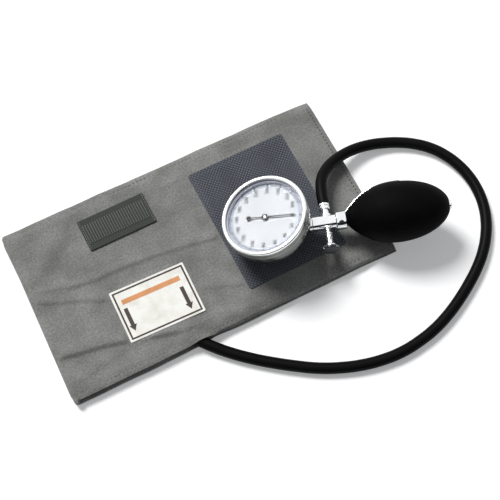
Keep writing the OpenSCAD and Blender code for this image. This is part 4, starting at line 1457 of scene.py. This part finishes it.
    def cap(self) -> None:
        """Sets the bright cap in the middle of the hub."""
        outline = [(0, 1.32), (1.2, 1.32), (1.2, 2.0, 0.3), (0, 2.15)]
        dress(lathe("hub_cap", outline, GAUGE, 32), STEEL, Slot.STEEL, body=SPINDLE)

    def build(self, frame: dict) -> None:
        """Makes the gauge head.
        """
        self.case()
        self.bezel()
        self.lens()
        self.dial()
        self.pointer()
        self.cap()
        works = ("top_plate", "bottom_plate", "plate_pillars", "frame_posts", "sector_gear")
        repaint(frame, BRASS, *works, "inlet_block", "dial_ring", "capsule", "hairspring")
        repaint(frame, STEEL, "pillar_screws", "pinion", "rocking_shaft", "capsule_post")
        # The lens gasket's pale colour is painted light over the bezel's shadow.
        repaint(frame, GASKET_PAINTED_LIGHT, "lens_gasket")


@dataclass
class Neck:
    """The chromed neck with the hose barb, the release valve, the collar and its screw."""

    radius: float = 5.3
    front: float = 13.2
    back: float = 7.2
    collar_r: float = 6.8
    collar_len: float = 7.2
    screw_turn: float = 134
    flutes: int = 24

    def tube(self) -> None:
        """Turns the neck and joins its two side bosses."""
        r, end = self.radius, self.back + self.collar_len
        outer = [(1, -37), (2.2, -37, 0.2), (2.2, -31), (3.5, -31, 0.2), (3.5, -self.front)]
        outer += [(r, -self.front, 0.5), (r, -11.2, 0.1), (r - 0.25, -10.9, 0.1), (r - 0.25, -10.5, 0.1)]
        outer += [(r, -10.2, 0.1), (r, self.back, 0.4), (5, self.back), (5, end, 0.2), (4.2, end)]
        outer += [(4.2, 27, 0.3), (1.7, 27), (1.7, 20), (1, 20), (1, -37)]
        neck = lathe("chrome_neck", outer, ALONG_NECK, 96)
        barb = [(0, 2), (4.1, 2), (4.1, r + 0.6, 0.3), (0, r + 0.6)]
        combine(neck, lathe("barb_boss", barb, ALONG_BARB, 64), "UNION")
        valve = [(0, 2), (2.9, 2), (2.9, r + 0.5, 0.3), (0, r + 0.5)]
        combine(neck, lathe("valve_boss", valve, ALONG_VALVE, 64), "UNION")
        bore = [(0, 0.5), (2.05, 0.5), (2.05, 8), (0, 8)]
        combine(neck, lathe("barb_bore", bore, ALONG_BARB, 48), "DIFFERENCE")
        bore = [(0, 0), (0.86, 0), (0.86, 2.2), (1.81, 2.2), (1.81, 8), (0, 8)]
        combine(neck, lathe("valve_bore", bore, ALONG_VALVE, 48), "DIFFERENCE")
        dress(smooth(neck, 30), CHROME, Slot.CHROME, "neck_tube")

    def barb(self) -> None:
        """Turns the hose barb with its flange."""
        outline = [(1.2, 3.3), (2, 3.3), (2, 6), (2.8, 6), (2.8, 10, 0.2), (4.1, 10, 0.5)]
        outline += [(4.1, 12, 0.15), (3.75, 12.3, 0.1), (3.75, 12.9, 0.1), (4.1, 13.2, 0.15)]
        outline += [(4.1, 15.2, 0.5), (2.6, 15.2)]
        for i in range(3):
            start = 17.6 + 3.6 * i
            outline += [(2.6, start), (3.1, start, 0.05), (2.6, start + 2.2)]
        outline += [(2.6, 28.2, 0.3), (1.2, 28.2), (1.2, 3.3)]
        dress(lathe("chrome_barb", outline, ALONG_BARB, 64), CHROME, Slot.CHROME, "hose_barb")

    def barrel(self) -> None:
        """Turns the release valve's barrel."""
        outline = [(0.83, 2.2), (1.75, 2.2, 0.1), (1.75, 9.4), (2.9, 9.4, 0.35), (2.9, 11, 0.12)]
        outline += [(2.6, 11.3, 0.1), (2.6, 11.9, 0.1), (2.9, 12.2, 0.12), (2.9, 13.8, 0.35), (1.63, 13.8)]
        outline += [(1.63, 9.4), (0.83, 9.4), (0.83, 2.2)]
        dress(lathe("valve_stem", outline, ALONG_VALVE, 64), CHROME, Slot.CHROME, "valve_barrel")

    def knob(self) -> None:
        """Turns the release knob, then presses the grip into its rim."""
        ball = arc((0, 17.1), 3, -55, 55, 12)
        outline = [(0.83, 9.7), (1.5, 9.7), (1.6, 9.85), (1.6, 14.65)] + ball
        outline += [(1.75, 20.3), (2.6, 21, 0.3), (5.4, 21, 0.1), (6, 21, 0.15), (6, 21.8, 0.15), (0, 21.8)]
        outline += [(0, 16.8), (0.83, 16.8), (0.83, 9.7)]
        knob = lathe("grip_knob", outline, ALONG_VALVE, 72)
        dress(knob, CHROME, Slot.CHROME, "release_knob", body="knob")
        outline = [(0, 21.85), (5.85, 21.85), (5.85, 23.2, 0.2), (5, 23.8, 0.3), (0, 23.8)]
        skirt = lathe("knurled_skirt", outline, None, self.flutes * 6)
        edit(skirt)
        sector = math.tau / self.flutes

        def in_flute(m: Vector) -> bool:
            """Tells whether a point is in one of the rim's flutes."""
            angle = math.atan2(m.y, m.x) / sector
            return m.xy.length > 5.5 and abs(angle - round(angle)) < 0.26

        choose(in_flute)
        bpy.ops.transform.resize(value=(0.94, 0.94, 1), center_override=(0, 0, 0))
        close(skirt, ALONG_VALVE)
        smooth(skirt, 28)
        # The fluted rim's dark metal is painted reflection.
        dress(skirt, KNURL_PAINTED_DARK, Slot.CHROME, body="knob")

    def collar(self) -> None:
        """Turns the collar that clamps the spoon."""
        end, bore = self.back + self.collar_len, self.radius + 0.75
        low, r = self.back + 0.05, self.collar_r
        outline = [(bore, low), (r, low, 0.45), (r, end, 0.45), (bore, end), (bore, low)]
        dress(lathe("chrome_collar", outline, ALONG_NECK, 96), CHROME, Slot.CHROME, "spoon_collar")

    def screw(self) -> None:
        """Turns the collar's screw and cuts its slot."""
        middle = shift(self.back + self.collar_len / 2, 0, 0)
        place = HANDSET @ turn(self.screw_turn, "X") @ middle @ turn(-90, "X")
        outline = [(0, 5), (1.2, 5), (1.2, 6.85), (2, 6.85, 0.1), (2, 7.3, 0.3), (0, 7.5)]
        screw = lathe("slotted_screw", outline, None, 40)
        clear()
        bpy.ops.mesh.primitive_cube_add(size=MM, location=(0, 0, 7.6 * MM))
        tool = bpy.context.object
        bpy.ops.object.mode_set(mode="EDIT")
        bpy.ops.transform.resize(value=(6, 0.5, 1))
        close(tool)
        combine(screw, tool, "DIFFERENCE")
        close(screw, place)
        # The screw takes the same dark metal, painted dark.
        dress(smooth(screw, 30), KNURL_PAINTED_DARK, Slot.STEEL, "collar_screw")

    def build(self, frame: dict) -> None:
        """Makes the neck's pieces.
        """
        self.tube()
        self.barb()
        self.barrel()
        self.knob()
        self.collar()
        self.screw()
        repaint(frame, STEEL, "valve_needle", "outlet_ball")
        repaint(frame, BRASS, "outlet_cage")


@dataclass
class Pump:
    """The rubber bulb, the finger spoon round it and the intake valve."""

    middle: float = 52.6
    half: float = 39
    radius: float = 22.5
    drawn: Triple = (0.45, 0.1, 2.3)  # how much the bulb is drawn in, from where and how sharply
    start: float = 16.3
    mouth: float = 14.5
    neck_r: float = 4.25
    wall: float = 2.6
    spoon_grow: float = 1.4
    spoon_t: float = 0.6
    spoon_turn: float = -42
    spoon_arc: float = 120
    spoon_tip: float = 68.6
    tip_round: float = 23.5

    def egg(self, x: float, grow: float = 0.0) -> float:
        """Gives the bulb's radius, which is drawn in towards the neck.

        Args:
            x: Place along the neck, in millimetres.
            grow: Clearance round the bulb.

        Returns:
            The radius there.
        """
        t = (x - self.middle) / (self.half + grow)
        most, begin, power = self.drawn
        share = 1 - most * max(0.0, -t - begin) ** power
        return (self.radius + grow) * math.sqrt(max(0.0, 1 - t * t)) * share

    def bulb(self) -> None:
        """Spins the bulb's wall, then raises its mould line."""
        end, hollow, inner = self.middle + self.half - 1, 30.0, self.middle + self.half - 9
        steps = 56
        eggs = [self.middle - self.half * math.cos(math.pi * i / steps) for i in range(steps + 1)]
        eggs = [self.start] + [x for x in eggs if self.start + 0.3 < x < end - 0.1] + [end]
        rim, mouth = self.neck_r, self.mouth
        outline = [(rim, mouth), (rim + 0.5, mouth), (4.9, mouth + 0.2), (4.9, 15.9)]
        outline += [(self.egg(x), x) for x in eggs]
        outline += [(2.95, end), (2.95, inner)]
        inside = [inner + (hollow - inner) * i / 30 for i in range(31)]
        outline += [(max(3.2, self.egg(x, -self.wall)), x) for x in inside]
        outline += [(3.2, 27.4), (rim, 27.4), (rim, mouth)]
        bulb = lathe("rubber_bulb", outline, None, 120)
        edit(bulb)

        def on_seam(m: Vector) -> bool:
            """Tells whether a point is on the mould line."""
            return abs(m.y) < 0.2 and self.start + 1 < m.z < end - 1 and abs(m.x) > self.egg(m.z) - 0.1

        choose(on_seam)
        bpy.ops.transform.resize(value=(1.008, 1, 1), center_override=(0, 0, 0))
        close(bulb, ALONG_NECK)
        smooth(bulb, 50)
        dress(bulb, BULB_RUBBER, Slot.RUBBER, "bulb")

    def spoon(self) -> None:
        """Spins the spoon's shell, rounds its tip and gives it its thickness."""
        base, count = self.mouth, 44
        path = [base + (self.spoon_tip - base) * (i / count) ** 1.3 for i in range(count + 1)]
        outline = [(6.0, 7.8), (6.0, 11), (6.0, 14.1)]
        outline += [(self.egg(x, self.spoon_grow), x) for x in path]
        shell = trace("finger_plate", outline, upright=True)
        bpy.ops.mesh.select_all(action="SELECT")
        spread = math.radians(self.spoon_arc)
        bpy.ops.mesh.spin(steps=48, angle=spread, center=(0, 0, 0), axis=(0, 0, 1))
        tidy()
        bpy.ops.object.mode_set(mode="OBJECT")
        lean = sum(math.atan2(v.co.y, v.co.x) for v in shell.data.vertices) / len(shell.data.vertices)
        for vertex in shell.data.vertices:
            at = vertex.co / MM
            angle = math.atan2(at.y, at.x) - lean
            x, r = at.z, at.xy.length
            if x > base:
                share, far = (x - base) / (self.spoon_tip - base), self.spoon_tip
                for _ in range(4):
                    side = self.egg(far, self.spoon_grow) * math.sin(angle)
                    far = self.spoon_tip - self.tip_round + math.sqrt(max(0.0, self.tip_round**2 - side**2))
                x = base + (far - base) * share
                r = self.egg(x, self.spoon_grow)
            angle += math.pi / 2
            vertex.co = Vector((r * math.cos(angle), r * math.sin(angle), x)) * MM
        modify(shell, "SOLIDIFY", thickness=self.spoon_t * MM, offset=-1)
        edit(shell)
        bpy.ops.mesh.normals_make_consistent(inside=False)
        close(shell, HANDSET @ turn(self.spoon_turn, "X") @ turn(90, "Y"))
        limit = {"limit_method": "ANGLE", "angle_limit": math.radians(60)}
        modify(shell, "BEVEL", width=0.3 * MM, segments=2, **limit)
        smooth(shell, 40)
        dress(shell, CHROME, Slot.CHROME, "finger_spoon")

    def intake(self) -> None:
        """Turns the intake valve's body and flange."""
        tip = self.middle + self.half
        inner = tip - 9
        outline = [(0.9, inner + 6), (1.7, inner + 6), (1.7, inner), (2.9, inner, 0.2), (2.9, tip - 1)]
        outline += [(3.8, tip - 0.95, 0.15), (3.8, tip + 0.4, 0.3), (3.1, tip + 1, 0.2)]
        outline += [(0.9, tip + 1, 0.2), (0.9, inner + 6)]
        dress(lathe("intake_flange", outline, ALONG_NECK, 64), CHROME, Slot.CHROME, "intake_body")

    def build(self, frame: dict) -> None:
        """Makes the bulb, the spoon and the intake.
        """
        self.bulb()
        self.spoon()
        self.intake()
        repaint(frame, STEEL, "intake_ball")
        repaint(frame, BRASS, "intake_cap")
        repaint(frame, BULB_RUBBER, "bladder")


def main() -> None:
    """Builds and dresses every piece, in order."""
    logging.basicConfig(level=logging.INFO, format="%(message)s")
    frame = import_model()
    Studio().build()
    Hose().build()
    cuff = Cuff()
    cuff.build()
    cuff.sew()
    Trim().build(cuff)
    Gauge().build(frame)
    Neck().build(frame)
    Pump().build(frame)
    clear()


if __name__ == "__main__":
    main()
